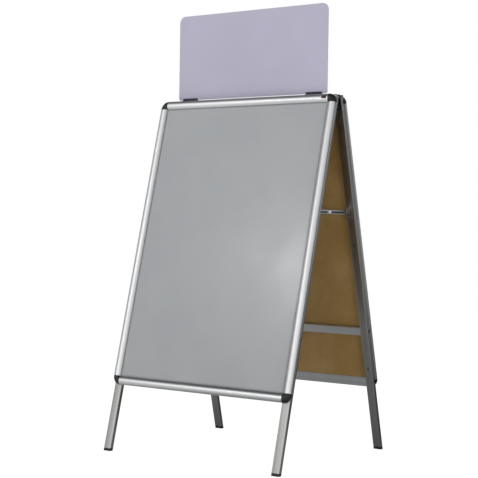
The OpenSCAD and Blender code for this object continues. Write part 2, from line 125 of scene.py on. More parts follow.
@dataclass(frozen=True)
class Box:
    """A box by its lowest and highest corners."""

    low: Vector
    high: Vector

    @classmethod
    def around(cls, points: Iterable[Vector]) -> "Box":
        """The smallest box that holds some points."""
        spans = list(zip(*points))
        return cls(Vector(map(min, spans)), Vector(map(max, spans)))

    @property
    def centre(self) -> Vector:
        """The box's middle."""
        return (self.low + self.high) / 2

    @property
    def size(self) -> Vector:
        """The box's three lengths."""
        return self.high - self.low

    @property
    def hand(self) -> int:
        """1 for a box on the right of its space, and -1 on the left."""
        return 1 if self.centre.x > 0 else -1

    def shrunk(self, by: float) -> "Box":
        """The box drawn in by a distance across X and Y."""
        inset = Vector((by, by, 0))
        return Box(self.low + inset, self.high - inset)


def joint(name: str) -> dict[str, Any]:
    """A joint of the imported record."""
    return next(found for found in frame["joints"] if found["name"] == name)


def solids(node: str, space: Matrix = Matrix()) -> list[Box]:
    """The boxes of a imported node's separate solids.

    Args:
        node: The node's name.
        space: The space to measure in.

    Returns:
        One box for each solid, in a fixed order.
    """
    mesh = bmesh.new()
    mesh.from_mesh(frame["nodes"][node].data)
    bmesh.ops.remove_doubles(mesh, verts=mesh.verts, dist=WELD)
    bmesh.ops.transform(mesh, matrix=space.inverted(), verts=mesh.verts)
    waiting = dict.fromkeys(mesh.verts)
    boxes = []
    while waiting:
        reached = [waiting.popitem()[0]]
        for vert in reached:
            for other in (edge.other_vert(vert) for edge in vert.link_edges):
                if other in waiting:
                    del waiting[other]
                    reached.append(other)
        boxes.append(Box.around(vert.co for vert in reached))
    mesh.free()
    return sorted(boxes, key=lambda box: [round(x, 5) for x in box.low])


def whole(node: str, space: Matrix = Matrix()) -> Box:
    """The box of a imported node's solids together, in a space."""
    corners = [corner for box in solids(node, space) for corner in (box.low, box.high)]
    return Box.around(corners)


@dataclass(frozen=True)
class Plan:
    """Where the poster frames stand, and the sizes that several pieces share."""

    hinge_z: float
    lean: float
    frame_w: float
    frame_h: float
    profile_w: float
    back: float
    crest: float
    bead: Vector
    sheet_q: float

    @classmethod
    def measured(cls) -> "Plan":
        """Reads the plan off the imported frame's joints and boxes.

        Returns:
            The plan.
        """
        fold = joint("fold")
        hinge_z, lean = fold["pos_m"][2], math.radians(fold["range_deg"][1]) / 2
        panel = Matrix.Translation((0, 0, hinge_z)) @ Matrix.Rotation(-lean, 4, "X")
        caps, flap = whole("front_corner_caps", panel), whole("front_flap_top", panel)
        cover = whole("front_cover_sheet", panel)
        bead = panel.inverted() @ Vector(joint("front_top_flap_hinge")["pos_m"])
        return cls(
            hinge_z=hinge_z,
            lean=lean,
            frame_w=caps.size.x,
            frame_h=caps.size.z,
            profile_w=flap.size.z,
            back=-caps.high.y,
            crest=caps.size.y,
            bead=Vector((-bead.z, caps.high.y - bead.y)),
            sheet_q=caps.high.y - cover.low.y,
        )

    def panel(self, side: Side) -> Matrix:
        """Panel space of a side. The rear is the front turned half round.

        Args:
            side: The side.

        Returns:
            The space, as it stands in the sign.
        """
        turn = Matrix.Rotation(math.pi if side is Side.REAR else 0, 4, "Z")
        stand = Matrix.Translation((0, 0, self.hinge_z)) @ Matrix.Rotation(-self.lean, 4, "X")
        return turn @ stand

    def edge(self, side: Side, edge: Edge) -> Matrix:
        """The space of a snap profile's section: p, q and then along the edge.

        Args:
            side: The side.
            edge: Which of its four edges.

        Returns:
            The space, as it stands in the sign.
        """
        reach = (self.frame_h if edge.level else self.frame_w) / 2
        section = Matrix(((0, 0, -1, 0), (0, -1, 0, -self.back), (-1, 0, 0, reach), (0, 0, 0, 1)))
        turn = Matrix.Rotation(math.radians(edge.value), 4, "Y")
        return self.panel(side) @ Matrix.Translation((0, 0, -self.frame_h / 2)) @ turn @ section


# ---- Shaping ---------------------------------------------------------------------------------


def arc(centre: Sequence[float], radius: float, start: float, end: float, steps: int) -> list[Vector]:
    """Points along an arc.

    Args:
        centre: The arc's centre.
        radius: Its radius.
        start: The angle of its first point, in degrees.
        end: The angle of its last point, in degrees.
        steps: How many lengths it is divided into.

    Returns:
        The points, with both ends.
    """
    angles = [math.radians(start + (end - start) * i / steps) for i in range(steps + 1)]
    return [Vector(centre) + radius * Vector((math.cos(a), math.sin(a))) for a in angles]


def rounded_outline(width: float, height: float, radii: Sequence[float], steps: int) -> list[Vector]:
    """An upright rectangle with rounded corners, its foot on Y = 0.

    Args:
        width: Its width.
        height: Its height.
        radii: The corner radii, from the lower right anticlockwise.
        steps: Lengths in each corner.

    Returns:
        The outline's points.
    """
    corners = [(1, 0, -90), (1, 1, 0), (-1, 1, 90), (-1, 0, 180)]
    points = []
    for (across, up, start), radius in zip(corners, radii):
        centre = (across * (width / 2 - radius), height - radius if up else radius)
        points += arc(centre, radius, start, start + 90, steps)
    return points


def soften(solid: BMesh, parts: Sequence[BMEdge] | Sequence[BMVert], width: float, steps: int = 2) -> None:
    """Rounds edges, or the corners of a flat outline.

    Args:
        solid: The mesh.
        parts: Edges, or an outline's corners.
        width: How far back the rounding starts.
        steps: Its number of facets.
    """
    if not parts or width <= 0:
        return
    corners = isinstance(parts[0], BMVert)
    bmesh.ops.bevel(
        solid, geom=parts, offset=width, offset_type="OFFSET", segments=steps, profile=0.5,
        affect="VERTICES" if corners else "EDGES", clamp_overlap=True, material=-1,
    )


def running(solid: BMesh, axis: Vector) -> list[BMEdge]:
    """The edges that run along an axis."""
    return [e for e in solid.edges if (e.verts[1].co - e.verts[0].co).cross(axis).length < WELD]


def block(
    box: Box, rounding: float = 0, axis: Vector | None = None, edge: float = 0, steps: int = 2
) -> BMesh:
    """A solid block.

    Args:
        box: Its size and place.
        rounding: Radius of the edges along the axis.
        axis: The axis that the rounding runs along.
        edge: Width of the softening on its other edges, or on all of them.
        steps: Facets in each rounded edge.

    Returns:
        The block's mesh.
    """
    solid = bmesh.new()
    place = Matrix.Translation(box.centre) @ Matrix.Diagonal((*box.size, 1))
    bmesh.ops.create_cube(solid, size=1, matrix=place)
    if axis is not None:
        soften(solid, running(solid, axis), rounding, steps)
        flat = [e for e in solid.edges if abs((e.verts[1].co - e.verts[0].co).dot(axis)) < WELD]
        soften(solid, flat, edge, 1)
    else:
        soften(solid, solid.edges[:], edge, steps)
    return solid


def prism(outline: Sequence[Vector], length: float, corner: float = 0, rim: float = 0) -> BMesh:
    """A flat outline drawn out along Z, half to each side.

    Args:
        outline: The outline's points in order.
        length: How far it is drawn out.
        corner: Rounding of the outline's sharp corners.
        rim: Softening of the edges round both ends.

    Returns:
        The closed solid.
    """
    solid = bmesh.new()
    face = solid.faces.new([solid.verts.new((*point, -length / 2)) for point in outline])
    arms = {v: [e.other_vert(v).co - v.co for e in v.link_edges] for v in face.verts}
    soften(solid, [v for v, (a, b) in arms.items() if a.angle(b) < math.pi - CORNER_TURN], corner)
    drawn = bmesh.ops.extrude_face_region(solid, geom=solid.faces[:])["geom"]
    bmesh.ops.translate(solid, verts=[part for part in drawn if isinstance(part, BMVert)], vec=Z * length)
    bmesh.ops.recalc_face_normals(solid, faces=solid.faces)
    ends = [e for e in solid.edges if abs(e.verts[0].co.z - e.verts[1].co.z) < WELD]
    soften(solid, ends, rim, 1)
    return solid


def turned(outline: Sequence[Sequence[float]], steps: int = 32) -> BMesh:
    """A piece turned on a lathe.

    Args:
        outline: Points of radius and height, from one end of the axis to the other.
        steps: Facets round it.

    Returns:
        The closed solid, turned about Z.
    """
    solid = bmesh.new()
    verts = [solid.verts.new((radius, 0, height)) for radius, height in outline]
    edges = [solid.edges.new(pair) for pair in zip(verts, verts[1:])]
    bmesh.ops.spin(
        solid, geom=verts + edges, cent=(0, 0, 0), axis=Z, angle=math.tau, steps=steps, use_merge=True,
    )
    bmesh.ops.remove_doubles(solid, verts=solid.verts, dist=WELD)
    bmesh.ops.recalc_face_normals(solid, faces=solid.faces)
    return solid


def shell(solid: BMesh, wall: float) -> None:
    """Gives an open sheet of faces its thickness, inwards, and closes its rims.

    Args:
        solid: The open sheet of faces.
        wall: Its thickness.
    """
    bmesh.ops.recalc_face_normals(solid, faces=solid.faces)
    bmesh.ops.solidify(solid, geom=solid.faces[:], thickness=wall)
    bmesh.ops.recalc_face_normals(solid, faces=solid.faces)


def tube(box: Box, wall: float, rounding: float) -> BMesh:
    """A rectangular tube along Z, open at both ends.

    Args:
        box: Its outside.
        wall: Its wall's thickness.
        rounding: Radius of its long corners.

    Returns:
        The tube's mesh.
    """
    solid = block(box, rounding, Z, 0, 3)
    ends = [face for face in solid.faces if abs(face.normal.z) > 0.5]
    bmesh.ops.delete(solid, geom=ends, context="FACES_ONLY")
    shell(solid, wall)
    return solid


def cut(solid: BMesh, height: float, keep_above: bool) -> None:
    """Cuts a solid on a level plane and closes it there.

    Args:
        solid: The mesh, in row space.
        height: The plane's height.
        keep_above: Whether the part above the plane stays.
    """
    found = bmesh.ops.bisect_plane(
        solid, geom=solid.verts[:] + solid.edges[:] + solid.faces[:], dist=WELD,
        plane_co=(0, 0, height), plane_no=Z, clear_inner=keep_above, clear_outer=not keep_above,
    )
    rim = [part for part in found["geom_cut"] if isinstance(part, BMEdge)]
    if len(loops_of(rim)) > 1:
        bmesh.ops.bridge_loops(solid, edges=rim)
    else:
        bmesh.ops.edgeloop_fill(solid, edges=rim)
    bmesh.ops.recalc_face_normals(solid, faces=solid.faces)


def loops_of(edges: Sequence[BMEdge]) -> list[set[BMVert]]:
    """The separate closed loops among some edges.

    Args:
        edges: Edges that form closed loops.

    Returns:
        The vertices of each loop.
    """
    loops: list[set[BMVert]] = []
    for edge in edges:
        ends = set(edge.verts)
        touching = [loop for loop in loops if loop & ends]
        loops = [loop for loop in loops if not loop & ends] + [ends.union(*touching)]
    return loops


def facing(direction: Vector, at: Vector) -> Matrix:
    """A space whose Z points along a direction, with its origin at a point."""
    return Matrix.Translation(at) @ direction.to_track_quat("Z", "Y").to_matrix().to_4x4()


# ---- Writing materials -----------------------------------------------------------------------


def tone(code: int) -> Colour:
    """A screen colour such as 0xB2B1BF as the linear colour that shaders take.

    Args:
        code: The screen colour.

    Returns:
        The linear colour, opaque.
    """
    shares = [(code >> shift & 0xFF) / 0xFF for shift in (16, 8, 0)]
    linear = [c / 12.92 if c <= 0.04045 else ((c + 0.055) / 1.055) ** 2.4 for c in shares]
    return (*linear, 1)


def grey(level: float) -> Colour:
    """A neutral linear colour."""
    return (level, level, level, 1)


class Graph:
    """Adds nodes to a node tree and joins them up."""

    def __init__(self, tree: NodeTree) -> None:
        """Starts on an emptied tree."""
        self.tree = tree
        tree.nodes.clear()

    def node(self, kind: str, inputs: dict[str | int, Setting], **settings: Any) -> Node:
        """Adds a node.

        Args:
            kind: The node's type after ShaderNode.
            inputs: A value, or the socket to link, for each input.
            settings: The node's own properties.

        Returns:
            The new node.
        """
        made = self.tree.nodes.new("ShaderNode" + kind)
        for name, value in settings.items():
            setattr(made, name, value)
        for name, value in inputs.items():
            if isinstance(value, NodeSocket):
                self.tree.links.new(value, made.inputs[name])
            else:
                made.inputs[name].default_value = value
        return made

    def maths(self, operation: str, *values: Setting) -> NodeSocket:
        """A sum on one or two values."""
        return self.node("Math", dict(enumerate(values)), operation=operation).outputs[0]

    def spot(self, tilt: float = 0) -> NodeSocket:
        """The point on the piece, with its space tilted back about X by an angle.

        Args:
            tilt: The angle, in radians.

        Returns:
            The point.
        """
        place = self.node("TexCoord", {}).outputs["Object"]
        if tilt:
            turn = {"Vector": place, "Angle": tilt}
            place = self.node("VectorRotate", turn, rotation_type="X_AXIS").outputs[0]
        return place

    def stretched(self, place: NodeSocket, scale: Sequence[float]) -> NodeSocket:
        """A point scaled by a different amount along each axis."""
        return self.node("Mapping", {"Vector": place, "Scale": scale}).outputs[0]

    def noise(self, place: NodeSocket, scale: float, detail: float = 3, rough: float = 0.55) -> NodeSocket:
        """A cloudy value about one half."""
        inputs = {"Vector": place, "Scale": scale, "Detail": detail, "Roughness": rough}
        return self.node("TexNoise", inputs).outputs["Fac"]

    def cells(self, place: NodeSocket, scale: float) -> NodeSocket:
        """A different flat value in each small cell."""
        found = self.node("TexVoronoi", {"Vector": place, "Scale": scale})
        return self.node("SeparateColor", {0: found.outputs["Color"]}).outputs[0]

    def between(
        self, value: NodeSocket, start: float, end: float, low: float = 0, high: float = 1
    ) -> NodeSocket:
        """A value's stretch from start to end, drawn out smoothly from low to high."""
        inputs = {"Value": value, "From Min": start, "From Max": end, "To Min": low, "To Max": high}
        return self.node("MapRange", inputs, interpolation_type="SMOOTHSTEP").outputs[0]

    def blend(self, share: Setting, first: Colour | NodeSocket, second: Colour | NodeSocket) -> NodeSocket:
        """A colour between two colours."""
        mixed = self.node("Mix", {0: share, 6: first, 7: second}, data_type="RGBA")
        return mixed.outputs[2]

    def spread(self, value: NodeSocket) -> NodeSocket:
        """The middle of a cloudy value, spread from 0 to 1."""
        return self.between(value, 0.3, 0.7)

    def tint(
        self, mask: NodeSocket, share: float, colour: Colour | NodeSocket, other: Colour
    ) -> NodeSocket:
        """A colour moved towards another by a share of a mask."""
        return self.blend(self.maths("MULTIPLY", mask, share), colour, other)

    def relief(self, height: NodeSocket, depth: float, strength: float) -> NodeSocket:
        """A bumpy normal from a height."""
        inputs = {"Height": height, "Distance": depth, "Strength": strength}
        return self.node("Bump", inputs).outputs[0]

    def ripples(self, height: NodeSocket, depth: float, fine: NodeSocket) -> NodeSocket:
        """A finer bumpy normal laid over a slow one."""
        inputs = {"Height": height, "Distance": depth, "Strength": 1, "Normal": fine}
        return self.node("Bump", inputs).outputs[0]

    def surface(
        self, colour: NodeSocket, roughness: NodeSocket, normal: NodeSocket, others: dict[str, Setting]
    ) -> Node:
        """The shader of a solid surface, with any other of its inputs."""
        inputs = {"Base Color": colour, "Roughness": roughness, "Normal": normal, **others}
        return self.node("BsdfPrincipled", inputs)

    def recess(self, reach: float, begins: float = 0.85, full: float = 0.35) -> NodeSocket:
        """How deep a point lies in a corner or groove of the sign, from 0 to 1, by ambient occlusion. The
        finishes paint shade with it.

        Args:
            reach: How far off a neighbour still counts.
            begins: Share of open sky below which the recess begins.
            full: Share of open sky at which it is full.

        Returns:
            The depth, from 0 on an open face to 1.
        """
        open_share = self.node("AmbientOcclusion", {"Distance": reach}, samples=8).outputs["AO"]
        return self.between(open_share, begins, full)

    def worn_edge(self, reach: float) -> NodeSocket:
        """How near a point is to a corner of the piece, from 0 to 1.

        Args:
            reach: How far in from the corner it is felt.

        Returns:
            The nearness, from 0 on a flat face to 1.
        """
        rounded = self.node("Bevel", {"Radius": reach}, samples=4).outputs[0]
        flat = self.node("NewGeometry", {}).outputs["Normal"]
        alike = self.node("VectorMath", {0: rounded, 1: flat}, operation="DOT_PRODUCT")
        return self.between(alike.outputs["Value"], 0.999, 0.93)


class Run(Enum):
    """Which way a piece was drawn or sawn: the share of the lean that it tilts by, and its axis."""

    ACROSS = (0, 0)
    LEVEL = (0, 1)
    UP_FRONT = (1, 2)
    UP_REAR = (-1, 2)

    @classmethod
    def up(cls, side: Side) -> "Run":
        """The way up a side's poster frame."""
        return cls.UP_FRONT if side is Side.FRONT else cls.UP_REAR

    def scales(self, along: float, across: float) -> tuple[float, ...]:
        """A pattern's scale along the run and across it, for the three axes."""
        return tuple(along if axis == self.value[1] else across for axis in range(3))


@dataclass(frozen=True)
class Finish:
    """A surface finish. Each kind writes its own nodes."""

    name: str
    slot: str

    def material(self) -> Material:
        """The finish's material, written once.

        Returns:
            The material.
        """
        made = bpy.data.materials.get(self.name)
        if made is None:
            made = bpy.data.materials.new(self.name)
            made.use_nodes = True
            graph = Graph(made.node_tree)
            graph.node("OutputMaterial", {"Surface": self.shade(graph).outputs[0]})
        return made

    def shade(self, graph: Graph) -> Node:
        """Writes the finish's shader and returns it."""
        raise NotImplementedError


@dataclass(frozen=True)
class DrawnAluminium(Finish):
    """Satin anodised extrusion, with the die's fine lines along its length."""

    run: Run
    tilt: float
    pale: Colour = tone(0xE4E5E6)
    dull: Colour = tone(0xCFD1D3)
    smooth: float = 0.3
    rough: float = 0.4
    recess_shade: float = 0.5

    def base(self, graph: Graph, body: NodeSocket) -> NodeSocket:
        """Any marking over the metal's colour."""
        return body

    def shade(self, graph: Graph) -> Node:
        """Die lines, cloudy anodising, light handling marks, brighter corners and painted shade in recesses.

        Args:
            graph: The material's nodes.

        Returns:
            The shader.
        """
        place = graph.spot(self.tilt * self.run.value[0])
        lines = graph.noise(graph.stretched(place, self.run.scales(3, 1400)), 1, 5, 0.7)
        bands = graph.noise(graph.stretched(place, self.run.scales(1.5, 160)), 1, 3)
        cloud = graph.noise(place, 11, 4)
        marks = graph.between(graph.noise(graph.stretched(place, (90, 420, 150)), 1, 6, 0.7), 0.66, 0.72)
        worn = graph.worn_edge(0.5 * MM)
        body = graph.blend(graph.spread(bands), self.dull, self.pale)
        body = graph.blend(graph.between(cloud, 0.35, 0.75, 0, 0.35), body, self.dull)
        body = graph.blend(worn, body, tone(0xF2F2F0))
        # Painted shade: darkens the metal in recesses and seams, by ambient occlusion.
        body = graph.tint(graph.recess(4 * MM), self.recess_shade, body, tone(0x3A3836))
        body = self.base(graph, body)
        gloss = graph.between(lines, 0.3, 0.7, self.smooth, self.rough)
        gloss = graph.maths("ADD", gloss, graph.maths("MULTIPLY", marks, 0.09))
        gloss = graph.maths("SUBTRACT", gloss, graph.maths("MULTIPLY", worn, 0.08))
        relief = graph.relief(lines, 0.03 * MM, 0.5)
        return graph.surface(body, gloss, relief, {"Metallic": 1})


@dataclass(frozen=True)
class GroovedAluminium(DrawnAluminium):
    """Drawn aluminium with a groove pressed along its middle, darkened with painted shade."""

    middle: Vector = Vector()
    half: Vector = Vector()
    groove_shade: float = 0.92
    fade: float = 0.3 * MM

    def base(self, graph: Graph, body: NodeSocket) -> NodeSocket:
        """Paints shade into the groove, alike on both sides of the sign's middle.

        Args:
            graph: The material's nodes.
            body: The metal's colour.

        Returns:
            The colour with its groove.
        """
        share: Setting = self.groove_shade
        axes = graph.node("SeparateXYZ", {0: graph.spot()})
        for axis in (1, 2):
            from_floor = graph.maths("ABSOLUTE", axes.outputs[axis])
            away = graph.maths("ABSOLUTE", graph.maths("SUBTRACT", from_floor, self.middle[axis]))
            inside = graph.between(away, self.half[axis] + self.fade, self.half[axis] - self.fade)
            share = graph.maths("MULTIPLY", inside, share)
        # Painted shade: the groove's floor is coloured near black, as it looks in shade.
        return graph.blend(share, body, tone(0x242424))


@dataclass(frozen=True)
class MouldedPlastic(Finish):
    """Black moulded plastic with a fine spark-eroded grain."""

    body: Colour = tone(0x121214)
    dusty: Colour = tone(0x222122)

    def shade(self, graph: Graph) -> Node:
        """Pebbled grain, a little dust in it, and corners rubbed paler and smoother.

        Args:
            graph: The material's nodes.

        Returns:
            The shader.
        """
        place = graph.spot()
        grain = graph.noise(place, 1500, 3, 0.6)
        pebble = graph.noise(place, 520, 2)
        dust = graph.between(graph.noise(place, 60, 5, 0.65), 0.45, 0.8)
        worn = graph.worn_edge(0.6 * MM)
        colour = graph.tint(dust, 0.6, self.body, self.dusty)
        colour = graph.tint(worn, 0.35, colour, tone(0x5A5A5C))
        gloss = graph.between(grain, 0.3, 0.7, 0.42, 0.62)
        gloss = graph.maths("SUBTRACT", gloss, graph.maths("MULTIPLY", worn, 0.12))
        height = graph.maths("ADD", grain, graph.maths("MULTIPLY", pebble, 1.4))
        return graph.surface(colour, gloss, graph.relief(height, 0.12 * MM, 0.6), {})


@dataclass(frozen=True)
class SheetPlastic(Finish):
    """Rigid plastic sheet with a matt, faintly rippled face."""

    body: Colour
    deeper: Colour
    gloss: tuple[float, float] = (0.42, 0.52)
    ripple: float = 0.25 * MM

    def shade(self, graph: Graph) -> Node:
        """Fine matt grain over slow ripples, cloudy colour and paler cut edges.

        Args:
            graph: The material's nodes.

        Returns:
            The shader.
        """
        place = graph.spot()
        grain = graph.noise(place, 1100, 4, 0.6)
        waves = graph.noise(place, 9, 2)
        cloud = graph.noise(place, 3.2, 3)
        specks = graph.between(graph.noise(place, 380, 2), 0.7, 0.78, 0, 0.35)
        colour = graph.blend(graph.spread(cloud), self.body, self.deeper)
        colour = graph.blend(specks, colour, self.deeper)
        colour = graph.tint(graph.worn_edge(0.5 * MM), 0.25, colour, tone(0xE9E9EE))
        roughness = graph.between(graph.maths("ADD", grain, waves), 0.7, 1.3, *self.gloss)
        normal = graph.ripples(waves, self.ripple, graph.relief(grain, 0.02 * MM, 0.4))
        return graph.surface(colour, roughness, normal, {})


@dataclass(frozen=True)
class CoverFilm(Finish):
    """Clear sheet with an anti-glare face, scuffed a little by cleaning."""

    body: Colour = tone(0xC6C9CB)
    clearness: float = 0.5
    lip_shadow_reach: float = 7 * MM

    def shade(self, graph: Graph) -> Node:
        """A half-clear satin layer with fine wipe marks and slow waves, with a painted shadow beside the
        flaps' lips, darker and more opaque there.

        Args:
            graph: The material's nodes.

        Returns:
            The shader.
        """
        place = graph.spot()
        wipes = graph.noise(graph.stretched(place, (260, 260, 14)), 1, 5, 0.7)
        waves = graph.noise(place, 5, 2)
        grain = graph.noise(place, 1600, 2)
        colour = graph.blend(graph.spread(waves), self.body, tone(0xC1C4C7))
        roughness = graph.between(graph.maths("ADD", wipes, waves), 0.75, 1.25, 0.17, 0.26)
        outside = graph.maths("SUBTRACT", 0.9, graph.node("NewGeometry", {}).outputs["Backfacing"])
        # Painted shadow: the sheet goes dark and more opaque where it runs under the flaps' lips, over a
        # wider band than their real shade.
        painted_lip_shadow = graph.recess(self.lip_shadow_reach, 0.98, 0.84)
        painted_lip_shadow = graph.maths("MULTIPLY", painted_lip_shadow, graph.maths("MAXIMUM", outside, 0.0))
        colour = graph.blend(painted_lip_shadow, colour, tone(0x343432))
        cover = graph.maths("MAXIMUM", painted_lip_shadow, 1 - self.clearness)
        normal = graph.ripples(waves, 0.2 * MM, graph.relief(grain, 0.01 * MM, 0.3))
        return graph.surface(colour, roughness, normal, {"Alpha": cover})


@dataclass(frozen=True)
class Hardboard(Finish):
    """Brown hardboard: pressed wood fibre, smooth side out."""

    deep: Colour = tone(0x8A6C36)
    warm: Colour = tone(0xB6945A)
    straw: Colour = tone(0xC8AA76)
    sway: float = 0.006

    def shade(self, graph: Graph) -> Node:
        """Matted fibres, dark flecks and cloudy pressing.

        Args:
            graph: The material's nodes.

        Returns:
            The shader.
        """
        place = graph.spot()
        warp = graph.node("TexNoise", {"Vector": place, "Scale": 120, "Detail": 2}).outputs["Color"]
        sway = {0: warp, 1: (self.sway,) * 3, 2: place}
        bent = graph.node("VectorMath", sway, operation="MULTIPLY_ADD")
        fibres = graph.noise(graph.stretched(bent.outputs[0], (1500, 400, 330)), 1, 5, 0.7)
        matted = graph.noise(graph.stretched(bent.outputs[0], (300, 400, 1400)), 1, 5, 0.7)
        cloud = graph.noise(place, 7, 4, 0.6)
        flecks = graph.between(graph.noise(place, 700, 3), 0.64, 0.72)
        felt = graph.maths("MAXIMUM", fibres, matted)
        colour = graph.blend(graph.between(felt, 0.42, 0.72), self.deep, self.warm)
        colour = graph.blend(graph.between(cloud, 0.3, 0.75, 0, 0.45), colour, self.straw)
        colour = graph.tint(flecks, 0.5, colour, self.deep)
        roughness = graph.between(felt, 0.4, 0.75, 0.62, 0.45)
        return graph.surface(colour, roughness, graph.relief(felt, 0.08 * MM, 0.5), {})


@dataclass(frozen=True)
class Steel(Finish):
    """Plated or tempered steel, by its colours and gloss."""

    pale: Colour
    dark: Colour
    gloss: tuple[float, float] = (0.24, 0.4)
    metallic: float = 1
    grain: float = 900

    def shade(self, graph: Graph) -> Node:
        """Fine crystals, cloudy plating, tiny pits and bright corners.

        Args:
            graph: The material's nodes.

        Returns:
            The shader.
        """
        place = graph.spot()
        crystals = graph.cells(place, self.grain)
        cloud = graph.noise(place, 70, 4, 0.6)
        pits = graph.noise(place, 2200, 3)
        colour = graph.blend(graph.spread(cloud), self.dark, self.pale)
        colour = graph.tint(crystals, 0.3, colour, self.pale)
        colour = graph.tint(graph.worn_edge(0.4 * MM), 0.6, colour, tone(0xE8E8E6))
        roughness = graph.between(graph.maths("ADD", crystals, cloud), 0.4, 1.4, *self.gloss)
        normal = graph.relief(pits, 0.03 * MM, 0.4)
        return graph.surface(colour, roughness, normal, {"Metallic": self.metallic})


@dataclass(frozen=True)
class BadgeEnamel(Finish):
    """A small dark red badge under a clear gloss coat."""

    body: Colour = tone(0x4A0D14)
    rim: Colour = tone(0x1A0709)

    def shade(self, graph: Graph) -> Node:
        """Cloudy enamel, darker at its corners, with a glossy coat.

        Args:
            graph: The material's nodes.

        Returns:
            The shader.
        """
        place = graph.spot()
        cloud = graph.noise(place, 240, 3)
        colour = graph.blend(graph.spread(cloud), self.body, self.rim)
        colour = graph.blend(graph.worn_edge(0.8 * MM), colour, self.rim)
        roughness = graph.between(graph.noise(place, 900, 2), 0.3, 0.7, 0.5, 0.65)
        normal = graph.relief(cloud, 0.05 * MM, 0.3)
        return graph.surface(colour, roughness, normal, {"Coat Weight": 0.1, "Coat Roughness": 0.3})


class Palette:
    """Every finish on the sign."""

    plastic = MouldedPlastic("black_moulded_plastic", "black_plastic")
    film = CoverFilm("clear_cover_film", "cover_film")
    hardboard = Hardboard("brown_hardboard", "hardboard")
    backing = SheetPlastic(
        "grey_backing_sheet", "grey_backing", tone(0xAEB0B1), tone(0xA9ABAD), gloss=(0.5, 0.62),
    )
    header = SheetPlastic("lilac_header_sheet", "header_plastic", tone(0xADABBE), tone(0xA8A6B9))
    zinc = Steel("zinc_plated_steel", "zinc_steel", tone(0xA2A29E), tone(0x84847F), gloss=(0.3, 0.45))
    # Near-white, partly matt zinc for the knee rivets: their own zinc colour with a painted highlight in it.
    rivet = Steel(
        "bright_rivet_zinc", "zinc_steel", tone(0xF6F6F4), tone(0xE9EAEA), gloss=(0.3, 0.42), metallic=0.3,
    )
    screw = Steel("dull_screw_steel", "zinc_steel", tone(0x6A6A68), tone(0x4A4A4A), gloss=(0.4, 0.55))
    spring = Steel(
        "tempered_spring_steel", "spring_steel", tone(0x8E8A86), tone(0x5C5A5C),
        gloss=(0.28, 0.42), grain=300,
    )
    hinge = Steel(
        "black_hinge_steel", "hinge_steel", tone(0x3A3B3E), tone(0x242528), gloss=(0.34, 0.5), metallic=0.7,
    )
    badge = BadgeEnamel("dark_badge_enamel", "badge_plastic")

    def __init__(self, lean: float) -> None:
        """Makes the drawn finishes for the sign's lean."""
        self.lean = lean

    def drawn(self, run: Run) -> DrawnAluminium:
        """The satin aluminium of the profiles, legs and stays."""
        return DrawnAluminium("satin_aluminium_" + run.name.lower(), "satin_aluminium", run, self.lean)

    def stay(self, middle: Vector, half: Vector) -> GroovedAluminium:
        """The links' aluminium, with painted shade in their grooves, by the grooves' place and half size.

        Args:
            middle: The groove's middle, by its distance from the hinge line and its height.
            half: Half its length and half its width, in the same two directions.

        Returns:
            The finish.
        """
        return GroovedAluminium(
            "stay_aluminium", "satin_aluminium", Run.LEVEL, self.lean,
            pale=tone(0xF0F0F0), dull=tone(0xE2E2E2), middle=middle, half=half,
        )

    def leg(self, run: Run) -> DrawnAluminium:
        """The legs' duller aluminium.

        Args:
            run: Which way the legs run.

        Returns:
            The finish.
        """
        return DrawnAluminium(
            "leg_aluminium_" + run.name.lower(), "satin_aluminium", run, self.lean,
            pale=tone(0xAEAEAC), dull=tone(0x9C9C9A), smooth=0.28, rough=0.38,
        )

    def snap_flap(self, run: Run) -> DrawnAluminium:
        """The flaps' aluminium, a little brighter than the rest.

        Args:
            run: Which way the flap runs.

        Returns:
            The finish.
        """
        return DrawnAluminium(
            "snap_flap_aluminium_" + run.name.lower(), "snap_flap_aluminium", run, self.lean,
            pale=tone(0xDEDFDF), dull=tone(0xCECFD1), smooth=0.34, rough=0.44,
        )


# ---- Pieces ----------------------------------------------------------------------------------


class Piece:
    """One finished piece: solids gathered into a mesh, dressed, and hung on its body."""

    def __init__(self, name: str) -> None:
        """Starts an empty piece."""
        self.name = name
        self.mesh = bmesh.new()

    def add(self, solid: BMesh, place: Matrix = Matrix()) -> None:
        """Puts a solid into the piece, and uses it up.

        Args:
            solid: The solid's mesh.
            place: Where it goes in the piece's space.
        """
        bmesh.ops.transform(solid, matrix=place, verts=solid.verts)
        carried = bpy.data.meshes.new("carried")
        solid.to_mesh(carried)
        solid.free()
        self.mesh.from_mesh(carried)
        bpy.data.meshes.remove(carried)

    def hang(self, finish: Finish, *nodes: str, place: Matrix = Matrix()) -> None:
        """Makes the object, gives it its finish, and hangs it on the body of the nodes it stands for.

        Args:
            finish: The surface finish.
            nodes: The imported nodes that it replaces.
            place: The space that the piece was built in.
        """
        data = bpy.data.meshes.new(self.name)
        bmesh.ops.transform(self.mesh, matrix=place, verts=self.mesh.verts)
        open_edges = sum(not edge.is_manifold for edge in self.mesh.edges)
        self.mesh.to_mesh(data)
        self.mesh.free()
        data.shade_smooth()
        data.set_sharp_from_angle(angle=CREASE)
        data.materials.append(finish.material())
        piece = bpy.data.objects.new(self.name, data)
        bpy.context.scene.collection.objects.link(piece)
        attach(piece, frame["nodes"][nodes[0]]["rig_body"])
        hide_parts(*nodes)
        faces = len(data.polygons)
        LOG.info("%s: %d faces, %d open edges, %s", self.name, faces, open_edges, finish.name)


def refinish(finish: Finish, *nodes: str) -> None:
    """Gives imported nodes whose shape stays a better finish.

    Args:
        finish: The surface finish.
        nodes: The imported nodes.
    """
    for name in nodes:
        node = frame["nodes"][name]
        for holder in node.material_slots:
            holder.material = finish.material()
        LOG.info("%s: kept, %s", name, finish.name)


